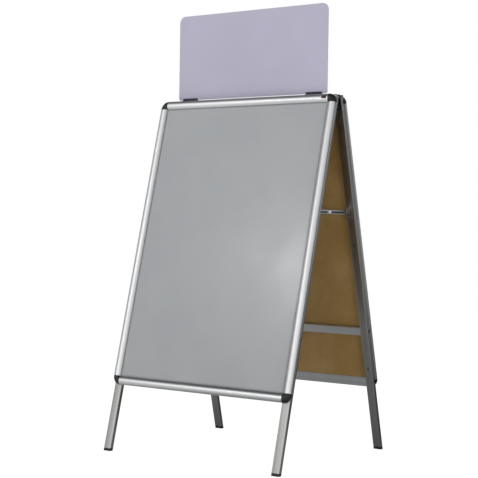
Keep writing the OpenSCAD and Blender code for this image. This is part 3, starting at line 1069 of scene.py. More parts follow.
@dataclass(frozen=True)
class SnapSection:
    """The snap profile's curved section, in p and q."""

    plan: Plan
    flap_t: float = 1.5 * MM
    hook_wall: float = 1.42 * MM
    lip_gap: float = 0.4 * MM
    hook_from: float = -50
    hook_to: float = 155

    @property
    def lip_q(self) -> float:
        """Height of the flap's lip, just clear of the cover sheet."""
        return self.plan.sheet_q + self.lip_gap

    @cached_property
    def bow(self) -> tuple[Vector, float]:
        """The centre and radius of the flap's arc, tangent to the hook and to the crest.

        Returns:
            The centre, in p and q, and the radius.
        """
        hook_r = self.plan.bead.x
        rise, drop = self.plan.crest - self.plan.bead.y, self.plan.crest - self.lip_q
        span = self.plan.profile_w - hook_r
        k = drop / (rise - hook_r) - 1
        c = drop * (hook_r + rise - drop) - span * span
        u = (math.sqrt(span * span - k * c) - span) / k
        radius = (u * u / (rise - hook_r) + hook_r + rise) / 2
        return Vector((hook_r + u, self.plan.crest - radius)), radius

    def joins_hook(self) -> float:
        """The angle at which the flap's arc leaves the hook, in degrees."""
        away = self.plan.bead - self.bow[0]
        return math.degrees(math.atan2(away.y, away.x))

    def reaches(self, radius: float, height: float) -> float:
        """The angle at which an arc about the bow's centre comes down to a height, in degrees."""
        return math.degrees(math.asin((height - self.bow[0].y) / radius))

    def flap(self) -> list[Vector]:
        """The flap's outline: hook, bow and lip.

        Returns:
            The points in p and q, round the section.
        """
        centre, radius = self.bow
        bead, hook_r = self.plan.bead, self.plan.bead.x
        inner_r, leaves = radius - self.flap_t, self.joins_hook()
        apart = radius - hook_r
        bend = math.degrees(math.acos((inner_r**2 - apart**2 - hook_r**2) / (2 * apart * hook_r)))
        turn = math.radians(leaves - bend)
        meets = bead + hook_r * Vector((math.cos(turn), math.sin(turn)))
        meets_at = math.degrees(math.atan2(meets.y - centre.y, meets.x - centre.x))
        return [
            *arc(bead, hook_r, self.hook_to, leaves, 3)[:-1],
            *arc(centre, radius, leaves, self.reaches(radius, self.lip_q), 22),
            *arc(centre, inner_r, self.reaches(inner_r, self.lip_q), meets_at, 20),
            *arc(bead, hook_r, leaves - bend, self.hook_from, 8)[1:],
            *arc(bead, hook_r - self.hook_wall, self.hook_from, self.hook_to, 14),
        ]

    def cap(self, recess: float, lid_q: float) -> list[tuple[float, float]]:
        """A corner cap's outline, as radius from the inner corner and height.

        Args:
            recess: Radius of the recess over the sheets' corner.
            lid_q: Height of the recess's roof.

        Returns:
            The outline's points.
        """
        centre, radius = self.bow
        width, bead, leaves = self.plan.profile_w, self.plan.bead, self.joins_hook()
        outer = [
            Vector((0, 0)), *arc(bead, bead.x, 180, leaves, 4)[:-1],
            *arc(centre, radius, leaves, self.reaches(radius, self.lip_q), 18),
        ]
        under = [Vector((width, lid_q)), Vector((width - recess, lid_q)), Vector((width - recess, 0))]
        return [(width - point.x, point.y) for point in outer + under]


@dataclass(frozen=True)
class SidePart:
    """A sub-assembly that each side of the sign has one of."""

    plan: Plan
    palette: Palette
    side: Side

    def node(self, name: str) -> str:
        """The name of a node or piece of this side."""
        return f"{self.side.value}_{name}"

    @property
    def panel(self) -> Matrix:
        """Panel space of this side."""
        return self.plan.panel(self.side)


@dataclass(frozen=True)
class PosterFrame(SidePart):
    """One side's snap frame: profiles, flaps, corner caps, springs and sheets."""

    cap_wall: float = 9.8 * MM
    cap_steps: int = 16
    cap_rim: float = 0.3 * MM
    tongue: Vector = Vector((15 * MM, 5.7 * MM, 1.6 * MM))
    tongue_in: Vector = Vector((6.15 * MM, 1.65 * MM))
    tongue_root: float = 2 * MM
    flap_corner: float = 0.35 * MM
    flap_rim: float = 0.2 * MM
    panel_corner: float = 2 * MM
    panel_rim: float = 0.15 * MM
    film_t: float = 0.4 * MM
    film_cells: tuple[int, int] = (28, 40)
    wave: float = 0.15 * MM

    @property
    def section(self) -> SnapSection:
        """The snap profile's section."""
        return SnapSection(self.plan)

    def build(self) -> None:
        """Builds and dresses the whole frame."""
        for edge in Edge:
            self.flap(edge)
            run = Run.ACROSS if edge.level else Run.up(self.side)
            refinish(self.palette.drawn(run), self.node("profile_" + edge.word(self.side)))
        refinish(self.palette.spring, self.node("flap_springs"))
        self.corner_caps()
        self.sheets()

    def flap(self, edge: Edge) -> None:
        """A snap flap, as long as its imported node.

        Args:
            edge: Which of the frame's edges it covers.
        """
        node = self.node("flap_" + edge.word(self.side))
        place = self.plan.edge(self.side, edge)
        piece = Piece(self.node(edge.word(self.side) + "_snap_flap"))
        length = whole(node, place).size.z
        piece.add(prism(self.section.flap(), length, corner=self.flap_corner, rim=self.flap_rim))
        run = Run.ACROSS if edge.level else Run.up(self.side)
        piece.hang(self.palette.snap_flap(run), node, place=place)

    def corner_caps(self) -> None:
        """The four rounded corner caps, each with a tongue into both neighbours."""
        piece = Piece(self.node("corner_cap_set"))
        width = self.plan.profile_w
        for turn, (across, up) in enumerate(((1, 1), (1, -1), (-1, -1), (-1, 1))):
            corner = Vector((
                across * (self.plan.frame_w / 2 - width), -self.plan.back,
                (up - 1) * self.plan.frame_h / 2 - up * width,
            ))
            spin = Matrix.Rotation(math.radians(90 * turn), 4, "Y")
            place = Matrix.Translation(corner) @ spin @ Matrix.Rotation(QUARTER, 4, "X")
            piece.add(self.corner_cap(), place)
            for flip in (False, True):
                piece.add(self.cap_tongue(flip), place)
        piece.hang(self.palette.plastic, self.node("corner_caps"), place=self.panel)

    def corner_cap(self) -> BMesh:
        """One cap: the profile's outline turned through a quarter, with a roof over the sheets.

        Returns:
            The cap, about the frame's inner corner.
        """
        solid = bmesh.new()
        lid_q = self.plan.sheet_q + self.film_t / 2
        outline = self.section.cap(self.plan.profile_w - self.cap_wall, lid_q)
        face = solid.faces.new([solid.verts.new((radius, 0, height)) for radius, height in outline])
        bmesh.ops.spin(
            solid, geom=[face, *face.edges, *face.verts], cent=(0, 0, 0), axis=Z, angle=QUARTER,
            steps=self.cap_steps,
        )
        bmesh.ops.remove_doubles(solid, verts=solid.verts, dist=WELD)
        bmesh.ops.dissolve_degenerate(solid, dist=WELD, edges=solid.edges)
        bmesh.ops.recalc_face_normals(solid, faces=solid.faces)
        ends = [
            edge for edge in solid.edges
            if edge.is_manifold and edge.calc_face_angle() > SHARP
            and any(max(abs(v.co[axis]) for v in edge.verts) < WELD for axis in (0, 1))
            and max(v.co.z for v in edge.verts) > self.plan.sheet_q
            and min(v.co.xy.length for v in edge.verts) > self.cap_wall
        ]
        soften(solid, ends, self.cap_rim, 1)
        return solid

    def cap_tongue(self, flip: bool) -> BMesh:
        """A tongue that slides into a neighbouring profile, along X or turned along Y.

        Args:
            flip: Whether it is turned along Y.

        Returns:
            The tongue, in the cap's space.
        """
        inner, low = self.plan.profile_w - self.tongue_in.x, self.tongue_in.y
        box = Box(
            Vector((-self.tongue.x, inner - self.tongue.y, low)),
            Vector((self.tongue_root, inner, low + self.tongue.z)),
        )
        solid = block(box, edge=self.cap_rim)
        if flip:
            turn = Matrix.Rotation(QUARTER, 4, "Z") @ Matrix.Rotation(math.pi, 4, "X")
            lift = Matrix.Translation((0, 0, 2 * low + self.tongue.z))
            bmesh.ops.transform(solid, matrix=lift @ turn, verts=solid.verts)
        return solid

    def sheets(self) -> None:
        """The hardboard, the grey backing and the clear cover."""
        for node, name, finish in (
            ("back_panel", "hardboard_panel", self.palette.hardboard),
            ("backing_sheet", "poster_backing", self.palette.backing),
        ):
            piece = Piece(self.node(name))
            piece.add(block(whole(self.node(node), self.panel), self.panel_corner, Y, self.panel_rim))
            piece.hang(finish, self.node(node), place=self.panel)
        piece = Piece(self.node("clear_cover"))
        piece.add(self.waved_sheet(whole(self.node("cover_sheet"), self.panel)))
        piece.hang(self.palette.film, self.node("cover_sheet"), place=self.panel)

    def waved_sheet(self, box: Box) -> BMesh:
        """The cover: a thin sheet that lies very slightly in waves inside its box.

        Args:
            box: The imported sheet's box in panel space.

        Returns:
            The sheet.
        """
        solid = bmesh.new()
        across, up = self.film_cells
        bmesh.ops.create_grid(solid, x_segments=across, y_segments=up, size=0.5)
        for vert in solid.verts:
            x, y = vert.co.x * math.pi, vert.co.y * math.pi
            broad = math.sin(2.3 * x + 0.6) * math.cos(1.7 * y)
            narrow = math.sin(4.1 * y + 1.1 * x)
            vert.co.z = self.wave * (broad + 0.5 * narrow)
        middle = box.centre - Y * self.film_t / 2
        stand = Matrix.Translation(middle) @ Matrix.Rotation(QUARTER, 4, "X")
        size = Matrix.Diagonal((box.size.x, box.size.z, 1, 1))
        bmesh.ops.transform(solid, matrix=stand @ size, verts=solid.verts)
        shell(solid, self.film_t)
        return solid


@dataclass(frozen=True)
class LegPair(SidePart):
    """One side's legs with their plugs and feet, and the crossbar between them."""

    wall: float = 1.2 * MM
    rounding: float = 1 * MM
    foot_h: float = 8 * MM
    foot_rim: float = 0.5 * MM
    plug_gap: float = 0.15 * MM
    plug_corner: float = 0.6 * MM
    plug_rim: float = 0.3 * MM
    top_cap_h: float = 2.5 * MM

    def build(self) -> None:
        """Builds and dresses the legs."""
        for hand in ("left", "right"):
            self.leg(hand)
        self.top_plugs()
        self.foot_caps()
        self.crossbar()

    def bar(self, hand: str) -> Box:
        """A leg's outside in panel space, from its cap down to well below the floor."""
        box = whole(self.node("leg_" + hand), self.panel)
        return Box(box.low - Z * 4 * self.foot_h, box.high)

    def leg(self, hand: str) -> None:
        """A leg tube, cut level just above its foot cap.

        Args:
            hand: Left or right.
        """
        solid = tube(self.bar(hand), self.wall, self.rounding)
        bmesh.ops.transform(solid, matrix=self.panel, verts=solid.verts)
        cut(solid, self.foot_h, keep_above=True)
        piece = Piece(self.node(hand + "_leg_tube"))
        piece.add(solid)
        piece.hang(self.palette.leg(Run.up(self.side)), self.node("leg_" + hand))

    def top_plugs(self) -> None:
        """The plugs that close the legs' top ends."""
        piece = Piece(self.node("leg_top_plugs"))
        for box in solids(self.node("leg_plugs"), self.panel):
            rim = box.high.z - self.top_cap_h
            lid = Box(Vector((*box.low.xy, rim)), box.high)
            stub = Box(box.low, Vector((*box.high.xy, rim + self.top_cap_h / 2)))
            piece.add(block(lid, self.rounding, Z, self.plug_corner, 3))
            piece.add(block(stub.shrunk(self.wall + self.plug_gap), self.plug_corner, Z, self.plug_rim))
        piece.hang(self.palette.plastic, self.node("leg_plugs"), place=self.panel)

    def foot_caps(self) -> None:
        """The feet: a block under each leg, flat on the floor, with a plug up inside the tube."""
        piece = Piece(self.node("foot_cap_pair"))
        for hand in ("left", "right"):
            outside = self.bar(hand)
            foot = block(outside, self.rounding, Z, 0, 3)
            plug = block(outside.shrunk(self.wall + self.plug_gap), self.plug_corner, Z, 0, 2)
            for solid, low, high in ((foot, 0, self.foot_h), (plug, self.foot_h / 2, 3 * self.foot_h)):
                bmesh.ops.transform(solid, matrix=self.panel, verts=solid.verts)
                cut(solid, low, keep_above=True)
                cut(solid, high, keep_above=False)
            level = [e for e in foot.edges if abs(e.verts[0].co.z - e.verts[1].co.z) < WELD]
            soften(foot, level, self.foot_rim, 2)
            piece.add(foot)
            piece.add(plug)
        piece.hang(self.palette.plastic, self.node("foot_caps"))

    def crossbar(self) -> None:
        """The crossbar tube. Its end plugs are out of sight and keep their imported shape."""
        box = whole(self.node("crossbar"), self.panel)
        lie = Matrix.Rotation(QUARTER, 4, "Y")
        upright = Box(
            Vector((-box.high.z, box.low.y, box.low.x)), Vector((-box.low.z, box.high.y, box.high.x))
        )
        piece = Piece(self.node("crossbar_tube"))
        piece.add(tube(upright, self.wall, self.rounding), lie)
        piece.hang(self.palette.drawn(Run.ACROSS), self.node("crossbar"), place=self.panel)
        refinish(self.palette.plastic, self.node("crossbar_plugs"))


@dataclass(frozen=True)
class Fasteners:
    """Screws and rivets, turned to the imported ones' places."""

    shank_r: float = 2 * MM
    head_r: float = 3.6 * MM
    head_h: float = 1.6 * MM
    tip: float = 0.5 * MM
    socket_r: float = 1.5 * MM
    socket_depth: float = 1 * MM
    socket_lead: float = 0.15 * MM
    rivet_r: float = 2.5 * MM
    rivet_tip: float = 0.4 * MM
    rivet_head_h: float = 1.2 * MM
    rivet_rim: float = 0.35 * MM
    knee_rim: float = 0.4 * MM
    knee_shank: float = 2 * MM
    bracket_t: float = 1.5 * MM
    spacer_r: float = 4 * MM
    spacer_h: float = 2.3 * MM
    gap: float = 0.15 * MM

    def screw(self, length: float) -> BMesh:
        """A pan-head screw with a hexagon socket, its head's seat on Z = 0.

        Args:
            length: Length of its shank.

        Returns:
            The screw's mesh.
        """
        crown_r = self.head_h * 0.75
        crown = arc((self.head_r - crown_r, self.head_h * 0.25), crown_r, 0, 90, 5)
        outline = [
            (0, -length), (self.shank_r - self.tip, -length), (self.shank_r, self.tip - length),
            (self.shank_r, 0), (self.head_r, 0), *crown, (self.socket_r * 1.1, self.head_h),
            (self.socket_r, self.head_h - self.socket_lead),
            (self.socket_r, self.head_h - self.socket_depth), (0, self.head_h - self.socket_depth * 1.2),
        ]
        solid = turned(outline, 24)
        flat = math.radians(60)
        for vert in solid.verts:
            if vert.co.z > 0 and abs(vert.co.xy.length - self.socket_r) < WELD:
                from_middle = math.atan2(vert.co.y, vert.co.x) % flat - flat / 2
                vert.co.xy *= math.cos(flat / 2) / math.cos(from_middle)
        return solid

    @staticmethod
    def dome(radius: float, height: float, rim: float) -> list[tuple[float, float]]:
        """A rivet head's outline from its rim up to the axis.

        Args:
            radius: The head's radius.
            height: Its height over its seat.
            rim: Height of its upright rim.

        Returns:
            Points of radius and height.
        """
        steps = 6
        angles = [QUARTER * i / steps for i in range(steps + 1)]
        rise = height - rim
        return [(0 if a == angles[-1] else radius * math.cos(a), rim + rise * math.sin(a)) for a in angles]

    def screws(self, plan: Plan, palette: Palette, side: Side) -> None:
        """All of a side's screws, as one set.

        Args:
            plan: The sign's plan.
            palette: Its finishes.
            side: The side.
        """
        panel = plan.panel(side)
        piece = Piece(f"{side.value}_screw_set")
        for box in solids(f"{side.value}_screws", panel):
            axis = X * box.hand if box.size.x > box.size.y else Y
            reach = abs(box.size.dot(axis)) / 2
            seat = box.centre + axis * (reach - self.head_h)
            piece.add(self.screw(2 * reach - self.head_h), facing(axis, seat))
        piece.hang(palette.screw, f"{side.value}_screws", place=panel)

    def stay_rivets(self, plan: Plan, palette: Palette, side: Side) -> None:
        """A side's pivot rivets, with their spacers, and the rivets through the brackets' faces.

        Args:
            plan: The sign's plan.
            palette: Its finishes.
            side: The side.
        """
        panel = plan.panel(side)
        piece = Piece(f"{side.value}_stay_rivet_set")
        leg = whole(f"{side.value}_leg_right", panel)
        wall_x = min(abs(leg.low.x), abs(leg.high.x))
        for box in solids(f"{side.value}_stay_rivets", panel):
            pivot = box.size.x > box.size.y
            axis = X * -box.hand if pivot else Y
            reach = abs(box.size.dot(axis)) / 2
            head_r = box.size.z / 2
            seat = box.centre + axis * (reach - self.rivet_head_h)
            length = 2 * reach - self.rivet_head_h
            outline = [(0, -length), (self.rivet_r * 0.8, -length), (self.rivet_r, self.rivet_tip - length)]
            outline += [(self.rivet_r, 0), *self.dome(head_r, self.rivet_head_h, self.rivet_rim)]
            piece.add(turned(outline), facing(axis, seat))
            if pivot and side is Side.REAR:
                self.add_spacer(piece, Vector((wall_x * box.hand, *seat.yz)), axis)
        piece.hang(palette.zinc, f"{side.value}_stay_rivets", place=panel)

    def add_spacer(self, piece: Piece, wall: Vector, axis: Vector) -> None:
        """Adds the washer that stands the rear links off their brackets.

        Args:
            piece: The rivet set.
            wall: Where the rivet meets the leg's side.
            axis: The way from the leg to the link.
        """
        clear = self.gap / 3
        low, high = self.bracket_t + clear, self.bracket_t + self.spacer_h - clear
        bore = self.rivet_r - clear
        outline = [(bore, low), (self.spacer_r, low), (self.spacer_r, high), (bore, high), (bore, low)]
        piece.add(turned(outline), facing(axis, wall))

    def knee_rivet(self, palette: Palette, side: Side, hand: str) -> None:
        """The half of a knee rivet that one link carries.

        Args:
            palette: The sign's finishes.
            side: The link's side.
            hand: Left or right.
        """
        node = f"knee_rivet_{side.value}_{hand}"
        box = whole(node)
        outwards = X * box.hand * (1 if side is Side.FRONT else -1)
        head_h = box.size.x - self.knee_shank
        seat = box.centre + outwards * (box.size.x / 2 - head_h)
        outline = [(0, -self.knee_shank), (self.rivet_r, -self.knee_shank), (self.rivet_r, 0)]
        outline += self.dome(box.size.z / 2, head_h, self.knee_rim)
        piece = Piece(f"{side.value}_{hand}_knee_rivet")
        piece.add(turned(outline), facing(outwards, seat))
        piece.hang(palette.rivet, node)


@dataclass(frozen=True)
class Hinges:
    """The two top hinges: rolled leaves and their pins."""

    plan: Plan
    palette: Palette
    leaf_t: float = 1.8 * MM
    leaf_y: float = 5.5 * MM
    knuckle_r: float = 4.5 * MM
    knuckle_rim: float = 0.15 * MM
    leaf_corner: float = 2.5 * MM
    leaf_rim: float = 0.2 * MM
    pin_r: float = 2 * MM
    pin_head_h: float = 1 * MM
    pin_head_rim: float = 0.3 * MM
    gap: float = 0.15 * MM
    own: tuple[tuple[Side, tuple[int, ...]], ...] = ((Side.FRONT, (0, 2)), (Side.REAR, (1,)))

    def build(self) -> None:
        """Builds and dresses both sides' leaves and the pins."""
        for side, knuckles in self.own:
            self.leaves(side, knuckles)
        self.pins()

    def rolled(self) -> list[Vector]:
        """A knuckle's section in Y and Z: the leaf's end rolled right round the pin.

        Returns:
            The points, round the section.
        """
        start = 2 * self.knuckle_r
        bore = self.pin_r + self.gap / 3
        quarter = [
            Vector((math.cos(math.radians(a)), math.sin(math.radians(a))))
            * (self.knuckle_r + (self.leaf_y - self.knuckle_r) * ((a - 90) / 90) ** 2)
            for a in range(180, 89, -10)
        ]
        return [
            Vector((-self.leaf_y, -start)), *quarter, *arc((0, 0), self.knuckle_r, 80, -140, 22),
            *arc((0, 0), bore, -140, 180, 24),
            Vector((self.leaf_t - self.leaf_y, -self.knuckle_r * 0.3)),
            Vector((self.leaf_t - self.leaf_y, -start)),
        ]

    def leaves(self, side: Side, knuckles: Iterable[int]) -> None:
        """A side's leaves, each with its own knuckles.

        Args:
            side: The side.
            knuckles: Which of the three knuckles belong to it, from the low X.
        """
        panel = self.plan.panel(side)
        piece = Piece(f"{side.value}_hinge_leaf_pair")
        pins = sorted(solids("hinge_pins", panel), key=lambda box: box.centre.x)
        for pin, box in zip(pins, solids(f"{side.value}_hinge_leaves", panel)):
            middle, third = pin.centre.x, (pin.size.x - 2 * self.pin_head_h) / 3
            for knuckle in knuckles:
                centre = Vector((middle + (knuckle - 1) * third, 0, 0))
                solid = prism(self.rolled(), third - 2 * self.gap, rim=self.knuckle_rim)
                piece.add(solid, Matrix.Translation(centre) @ AXES_YZX)
            low = Vector((middle - third * 1.5, -self.leaf_y, box.low.z))
            high = Vector((middle + third * 1.5, self.leaf_t - self.leaf_y, -self.knuckle_r - 2 * self.gap))
            piece.add(block(Box(low, high), self.leaf_corner, Y, self.leaf_rim, 4))
        piece.hang(self.palette.hinge, f"{side.value}_hinge_leaves", place=panel)

    def pins(self) -> None:
        """The hinge pins, with domed heads at both ends."""
        piece = Piece("hinge_pin_pair")
        for box in solids("hinge_pins"):
            half = box.size.x / 2 - self.pin_head_h
            dome = Fasteners.dome(box.size.z / 2, self.pin_head_h, self.pin_head_rim)
            head = [(r, half + z) for r, z in dome]
            tail = [(r, -z) for r, z in reversed(head)]
            outline = [*tail, (self.pin_r, -half), (self.pin_r, half), *head]
            piece.add(turned(outline), facing(X, box.centre))
        piece.hang(self.palette.hinge, "hinge_pins")


@dataclass(frozen=True)
class Stays:
    """The folding stays: brackets round the legs' inner corners, and pressed links."""

    plan: Plan
    palette: Palette
    bracket_t: float = 1.5 * MM
    bend_r: float = 1 * MM
    bracket_rim: float = 0.25 * MM
    link_rim: float = 0.3 * MM
    groove_w: float = 4.8 * MM
    groove_depth: float = 0.6 * MM

    def build(self) -> None:
        """Builds and dresses the brackets, links and rivets."""
        fasteners = Fasteners()
        for side in Side:
            self.brackets(side)
            fasteners.stay_rivets(self.plan, self.palette, side)
            for hand in ("left", "right"):
                self.link(side, hand)
                fasteners.knee_rivet(self.palette, side, hand)

    def brackets(self, side: Side) -> None:
        """A side's brackets, each bent from sheet.

        Args:
            side: The side.
        """
        panel = self.plan.panel(side)
        piece = Piece(f"{side.value}_stay_bracket_pair")
        for box in solids(f"{side.value}_stay_brackets", panel):
            across, deep, t = box.size.x, box.size.y, self.bracket_t
            outer = self.bend_r + t
            outline = [
                Vector((0, deep)), Vector((t, deep)), *arc((outer, outer), self.bend_r, 180, 270, 5),
                Vector((across, t)), Vector((across, 0)), *arc((outer, outer), outer, 270, 180, 7),
            ]
            hand = box.hand
            start_x = box.low.x if hand > 0 else box.high.x
            place = Matrix.Translation((start_x, box.high.y, box.centre.z)) @ Matrix.Diagonal((1, -1, -1, 1))
            handed = [Vector((point.x * hand, point.y)) for point in outline]
            piece.add(prism(handed, box.size.z, rim=self.bracket_rim), place)
        piece.hang(self.palette.zinc, f"{side.value}_stay_brackets", place=panel)

    def link(self, side: Side, hand: str) -> None:
        """A stay link: a flat bar with rounded ends, pressed with a groove along its middle.

        Args:
            side: The side that it turns on.
            hand: Left or right.
        """
        node = f"stay_link_{side.value}_{hand}"
        box = whole(node)
        radius, half = box.size.z / 2, box.size.y / 2
        groove_end = half - 3 * radius
        outline = [
            *arc((half - radius, 0), radius, -90, 90, 14), *arc((radius - half, 0), radius, 90, 270, 14),
        ]
        solid = prism(outline, box.size.x)
        for across in (-1, 1):
            bmesh.ops.bisect_plane(
                solid, geom=solid.verts[:] + solid.edges[:] + solid.faces[:], dist=WELD,
                plane_co=(across * groove_end, 0, 0), plane_no=X,
            )
        soften(solid, [e for e in solid.edges if e.calc_face_angle() > SHARP], self.link_rim, 2)
        middles = [
            face for face in solid.faces
            if abs(face.normal.z) > 0.99 and abs(face.calc_center_median().x) < radius
            and face.calc_area() > radius**2
        ]
        margin = radius - self.groove_w / 2 - self.link_rim
        bmesh.ops.inset_individual(solid, faces=middles, thickness=margin)
        bmesh.ops.inset_individual(
            solid, faces=middles, thickness=self.groove_depth, depth=-self.groove_depth,
            use_even_offset=True,
        )
        piece = Piece(f"{side.value}_{hand}_stay_link")
        piece.add(solid, Matrix.Translation(box.centre) @ AXES_YZX)
        middle = Vector((0, abs(box.centre.y), box.centre.z))
        groove = Vector((0, groove_end, self.groove_w / 2))
        piece.hang(self.palette.stay(middle, groove), node)


@dataclass(frozen=True)
class Header:
    """The header panel, its two clips, and the blank badge on the front top flap."""

    plan: Plan
    palette: Palette
    top_r: float = 20 * MM
    foot_r: float = 6 * MM
    slot_gap: float = 0.2 * MM
    clip_wall: float = 2.8 * MM
    plate_t: float = 2.5 * MM
    plate_h: float = 18 * MM
    root_h: float = 5 * MM
    root_drop: float = 2 * MM
    heel: float = 0.5 * MM
    clip_corner: float = 0.5 * MM
    clip_rim: float = 0.4 * MM
    panel_rim: float = 0.3 * MM
    badge_t: float = 0.5 * MM
    badge_rim: float = 0.12 * MM
    badge_arc: tuple[float, float] = (78, 108)

    def build(self) -> None:
        """Builds and dresses the header's pieces."""
        self.panel()
        self.clips()
        self.badge()

    def panel(self) -> None:
        """The panel, with its rounded corners and softened cut edge."""
        box = whole("header_panel")
        outline = rounded_outline(
            box.size.x, box.size.z, (self.foot_r, self.top_r, self.top_r, self.foot_r), steps=12
        )
        place = Matrix.Translation((0, box.centre.y, box.low.z)) @ Matrix.Rotation(QUARTER, 4, "X")
        piece = Piece("header_board")
        piece.add(prism(outline, box.size.y, rim=self.panel_rim))
        piece.hang(self.palette.header, "header_panel", place=place)

    def leaned(self, y: float, z: float) -> Vector:
        """A point of the front panel's side view, as it stands in the sign."""
        return (self.plan.panel(Side.FRONT) @ Vector((0, y, z))).yz

    def clips(self) -> None:
        """The clips: a plate on the back of the top profile with an arm up to a slot."""
        board = whole("header_panel")
        back, seat = -self.plan.back, board.low.z
        plate, under = back + self.plate_t, seat - self.clip_wall
        half = board.size.y / 2 + self.slot_gap
        outer = half + self.clip_wall
        boxes = solids("header_clips")
        top = boxes[0].high.z
        outline = [
            self.leaned(back, -self.plate_h), self.leaned(plate, -self.plate_h),
            self.leaned(plate, -self.root_h), Vector((-outer, under - self.root_drop)),
            Vector((outer, under)), Vector((outer, top)), Vector((half, top)), Vector((half, seat)),
            Vector((-half, seat)), Vector((-half, top)), Vector((-outer, top)), Vector((-outer, seat)),
            self.leaned(plate - self.heel, 0), self.leaned(back, 0),
        ]
        piece = Piece("header_clip_pair")
        for box in boxes:
            place = Matrix.Translation((box.centre.x, 0, 0)) @ AXES_YZX
            piece.add(prism(outline, box.size.x, corner=self.clip_corner, rim=self.clip_rim), place)
        piece.hang(self.palette.plastic, "header_clips")

    def badge(self) -> None:
        """The badge, laid on the flap's curve."""
        centre, radius = SnapSection(self.plan).bow
        start, end = self.badge_arc
        outline = [*arc(centre, radius + self.badge_t, start, end, 6), *arc(centre, radius, end, start, 6)]
        box = whole("badge")
        place = self.plan.edge(Side.FRONT, Edge.TOP) @ Matrix.Translation((0, 0, -box.centre.x))
        piece = Piece("blank_badge")
        piece.add(prism(outline, box.size.x, corner=self.badge_rim, rim=self.badge_rim))
        piece.hang(self.palette.badge, "badge", place=place)


# ---- Setting ---------------------------------------------------------------------------------


@dataclass(frozen=True)
class Softbox:
    """A square or oblong lamp that faces a point."""

    name: str
    at: Vector
    towards: Vector
    width: float
    height: float
    power: float
    mirrored: bool = True

    def light(self) -> None:
        """Makes the lamp."""
        data = bpy.data.lights.new(self.name, "AREA")
        data.shape = "RECTANGLE"
        data.size, data.size_y = self.width, self.height
        data.energy = self.power
        lamp = bpy.data.objects.new(self.name, data)
        lamp.matrix_world = facing((self.at - self.towards).normalized(), self.at)
        lamp.visible_glossy = self.mirrored
        bpy.context.scene.collection.objects.link(lamp)


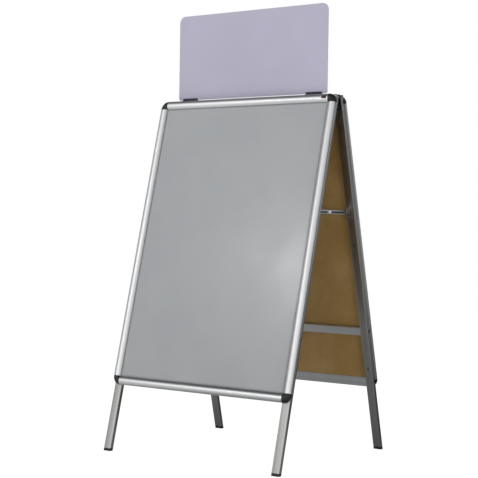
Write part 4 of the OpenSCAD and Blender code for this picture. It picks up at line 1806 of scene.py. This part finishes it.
@dataclass(frozen=True)
class Studio:
    """Floor, light and camera."""

    camera_at: Vector = Vector((2.210, -3.1173, 0.6723))
    yaw: float = 35.738
    pitch: float = -0.762
    roll: float = 0.882
    lens: float = 97.69
    sensor_w: float = 36
    floor_r: float = 7
    lamps: tuple[Softbox, ...] = (
        Softbox(
            "key_softbox", Vector((-2.6, -3.0, 2.3)), Vector((0, 0, 0.6)), 2.2, 2.2, 30, mirrored=False
        ),
        Softbox("front_window", Vector((-2.0, -3.3, 2.1)), Vector((0, -0.1, 0.65)), 0.45, 0.45, 7.5),
        Softbox(
            "right_fill", Vector((3.0, -1.2, 0.1)), Vector((0, 0.1, 0.5)), 1.2, 1.0, 44, mirrored=False
        ),
        Softbox(
            "back_fill", Vector((1.2, 3.6, 2.4)), Vector((0, 0.1, 0.7)), 2.4, 2.4, 90, mirrored=False
        ),
        Softbox("right_strip", Vector((2.6, -0.5, 0.8)), Vector((0.3, -0.1, 0.6)), 0.2, 1.8, 4.5),
    )

    def set_out(self) -> None:
        """Makes everything round the sign."""
        self.camera()
        self.floor()
        self.sky()
        for lamp in self.lamps:
            lamp.light()
        bpy.context.scene.view_settings.view_transform = "Standard"

    def camera(self) -> None:
        """The camera, level with the middle of the sign and to its front right."""
        data = bpy.data.cameras.new("camera")
        data.lens = self.lens
        data.sensor_width = self.sensor_w
        camera = bpy.data.objects.new("camera", data)
        turn = Matrix.Rotation(math.radians(self.yaw), 4, "Z")
        tilt = Matrix.Rotation(math.radians(90 + self.pitch), 4, "X")
        twist = Matrix.Rotation(math.radians(self.roll), 4, "Z")
        camera.matrix_world = Matrix.Translation(self.camera_at) @ turn @ tilt @ twist
        bpy.context.scene.collection.objects.link(camera)
        bpy.context.scene.camera = camera

    def floor(self) -> None:
        """A plain white floor with a faint contact shadow. In reflections and bounced light it glows with
        painted light, dimmed close to the sign by a painted shadow.
        """
        solid = bmesh.new()
        bmesh.ops.create_circle(solid, cap_ends=True, segments=96, radius=self.floor_r)
        data = bpy.data.meshes.new("floor")
        solid.to_mesh(data)
        solid.free()
        material = bpy.data.materials.new("white_floor")
        material.use_nodes = True
        graph = Graph(material.node_tree)
        place = graph.spot()
        # Painted light: to all rays but the camera's the floor glows, dimmed close to the sign and behind it
        # as a painted shadow.
        away = graph.node("VectorMath", {0: place}, operation="LENGTH").outputs["Value"]
        near = graph.between(away, 0.25, 1.2)
        lit = graph.blend(near, grey(0.22), grey(0.75))
        behind = graph.between(graph.node("SeparateXYZ", {0: place}).outputs["Y"], 0.0, 0.6, 1, 0.08)
        painted_floor_glow = graph.node("Emission", {"Color": lit, "Strength": behind})
        white = graph.node("Emission", {"Color": grey(0.96)})
        matt = graph.node("BsdfDiffuse", {"Color": grey(0.16)})
        seen = graph.node("AddShader", {0: white.outputs[0], 1: matt.outputs[0]})
        eye = graph.node("LightPath", {}).outputs["Is Camera Ray"]
        both = graph.node("MixShader", {0: eye, 1: painted_floor_glow.outputs[0], 2: seen.outputs[0]})
        graph.node("OutputMaterial", {"Surface": both.outputs[0]})
        data.materials.append(material)
        floor = bpy.data.objects.new("floor", data)
        bpy.context.scene.collection.objects.link(floor)

    def sky(self) -> None:
        """White to the eye. What lights the sign is bright at the front left and dim elsewhere."""
        world = bpy.data.worlds.new("studio")
        world.use_nodes = True
        bpy.context.scene.world = world
        graph = Graph(world.node_tree)
        way = graph.node("TexCoord", {}).outputs["Generated"]
        front_left = {0: way, 1: (-0.1, -0.94, 0.3)}
        lobe = graph.node("VectorMath", front_left, operation="DOT_PRODUCT").outputs["Value"]
        axes = graph.node("SeparateXYZ", {0: way})
        base = graph.between(axes.outputs["Y"], 0.35, -0.1, 0.36, 0.46)
        glow = graph.between(lobe, 0.5, 1.0, 0, 0.9)
        height = axes.outputs["Z"]
        level = graph.maths("MULTIPLY", graph.between(height, 0.85, 0.45), graph.between(height, -0.5, 0.0))
        strength = graph.maths("MULTIPLY", graph.maths("ADD", base, glow), level)
        lit = graph.node("Background", {"Color": grey(1), "Strength": strength})
        white = graph.node("Background", {"Color": grey(1), "Strength": 1.0})
        eye = graph.node("LightPath", {}).outputs["Is Camera Ray"]
        both = graph.node("MixShader", {0: eye, 1: lit.outputs[0], 2: white.outputs[0]})
        graph.node("OutputWorld", {"Surface": both.outputs[0]})


def main() -> None:
    """Builds the sign's sub-assemblies in order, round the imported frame."""
    logging.basicConfig(level=logging.INFO, format="%(message)s")
    Studio().set_out()
    plan = Plan.measured()
    palette = Palette(plan.lean)
    for side in Side:
        PosterFrame(plan, palette, side).build()
        LegPair(plan, palette, side).build()
        Fasteners().screws(plan, palette, side)
    Hinges(plan, palette).build()
    Stays(plan, palette).build()
    Header(plan, palette).build()


if __name__ == "__main__":
    main()
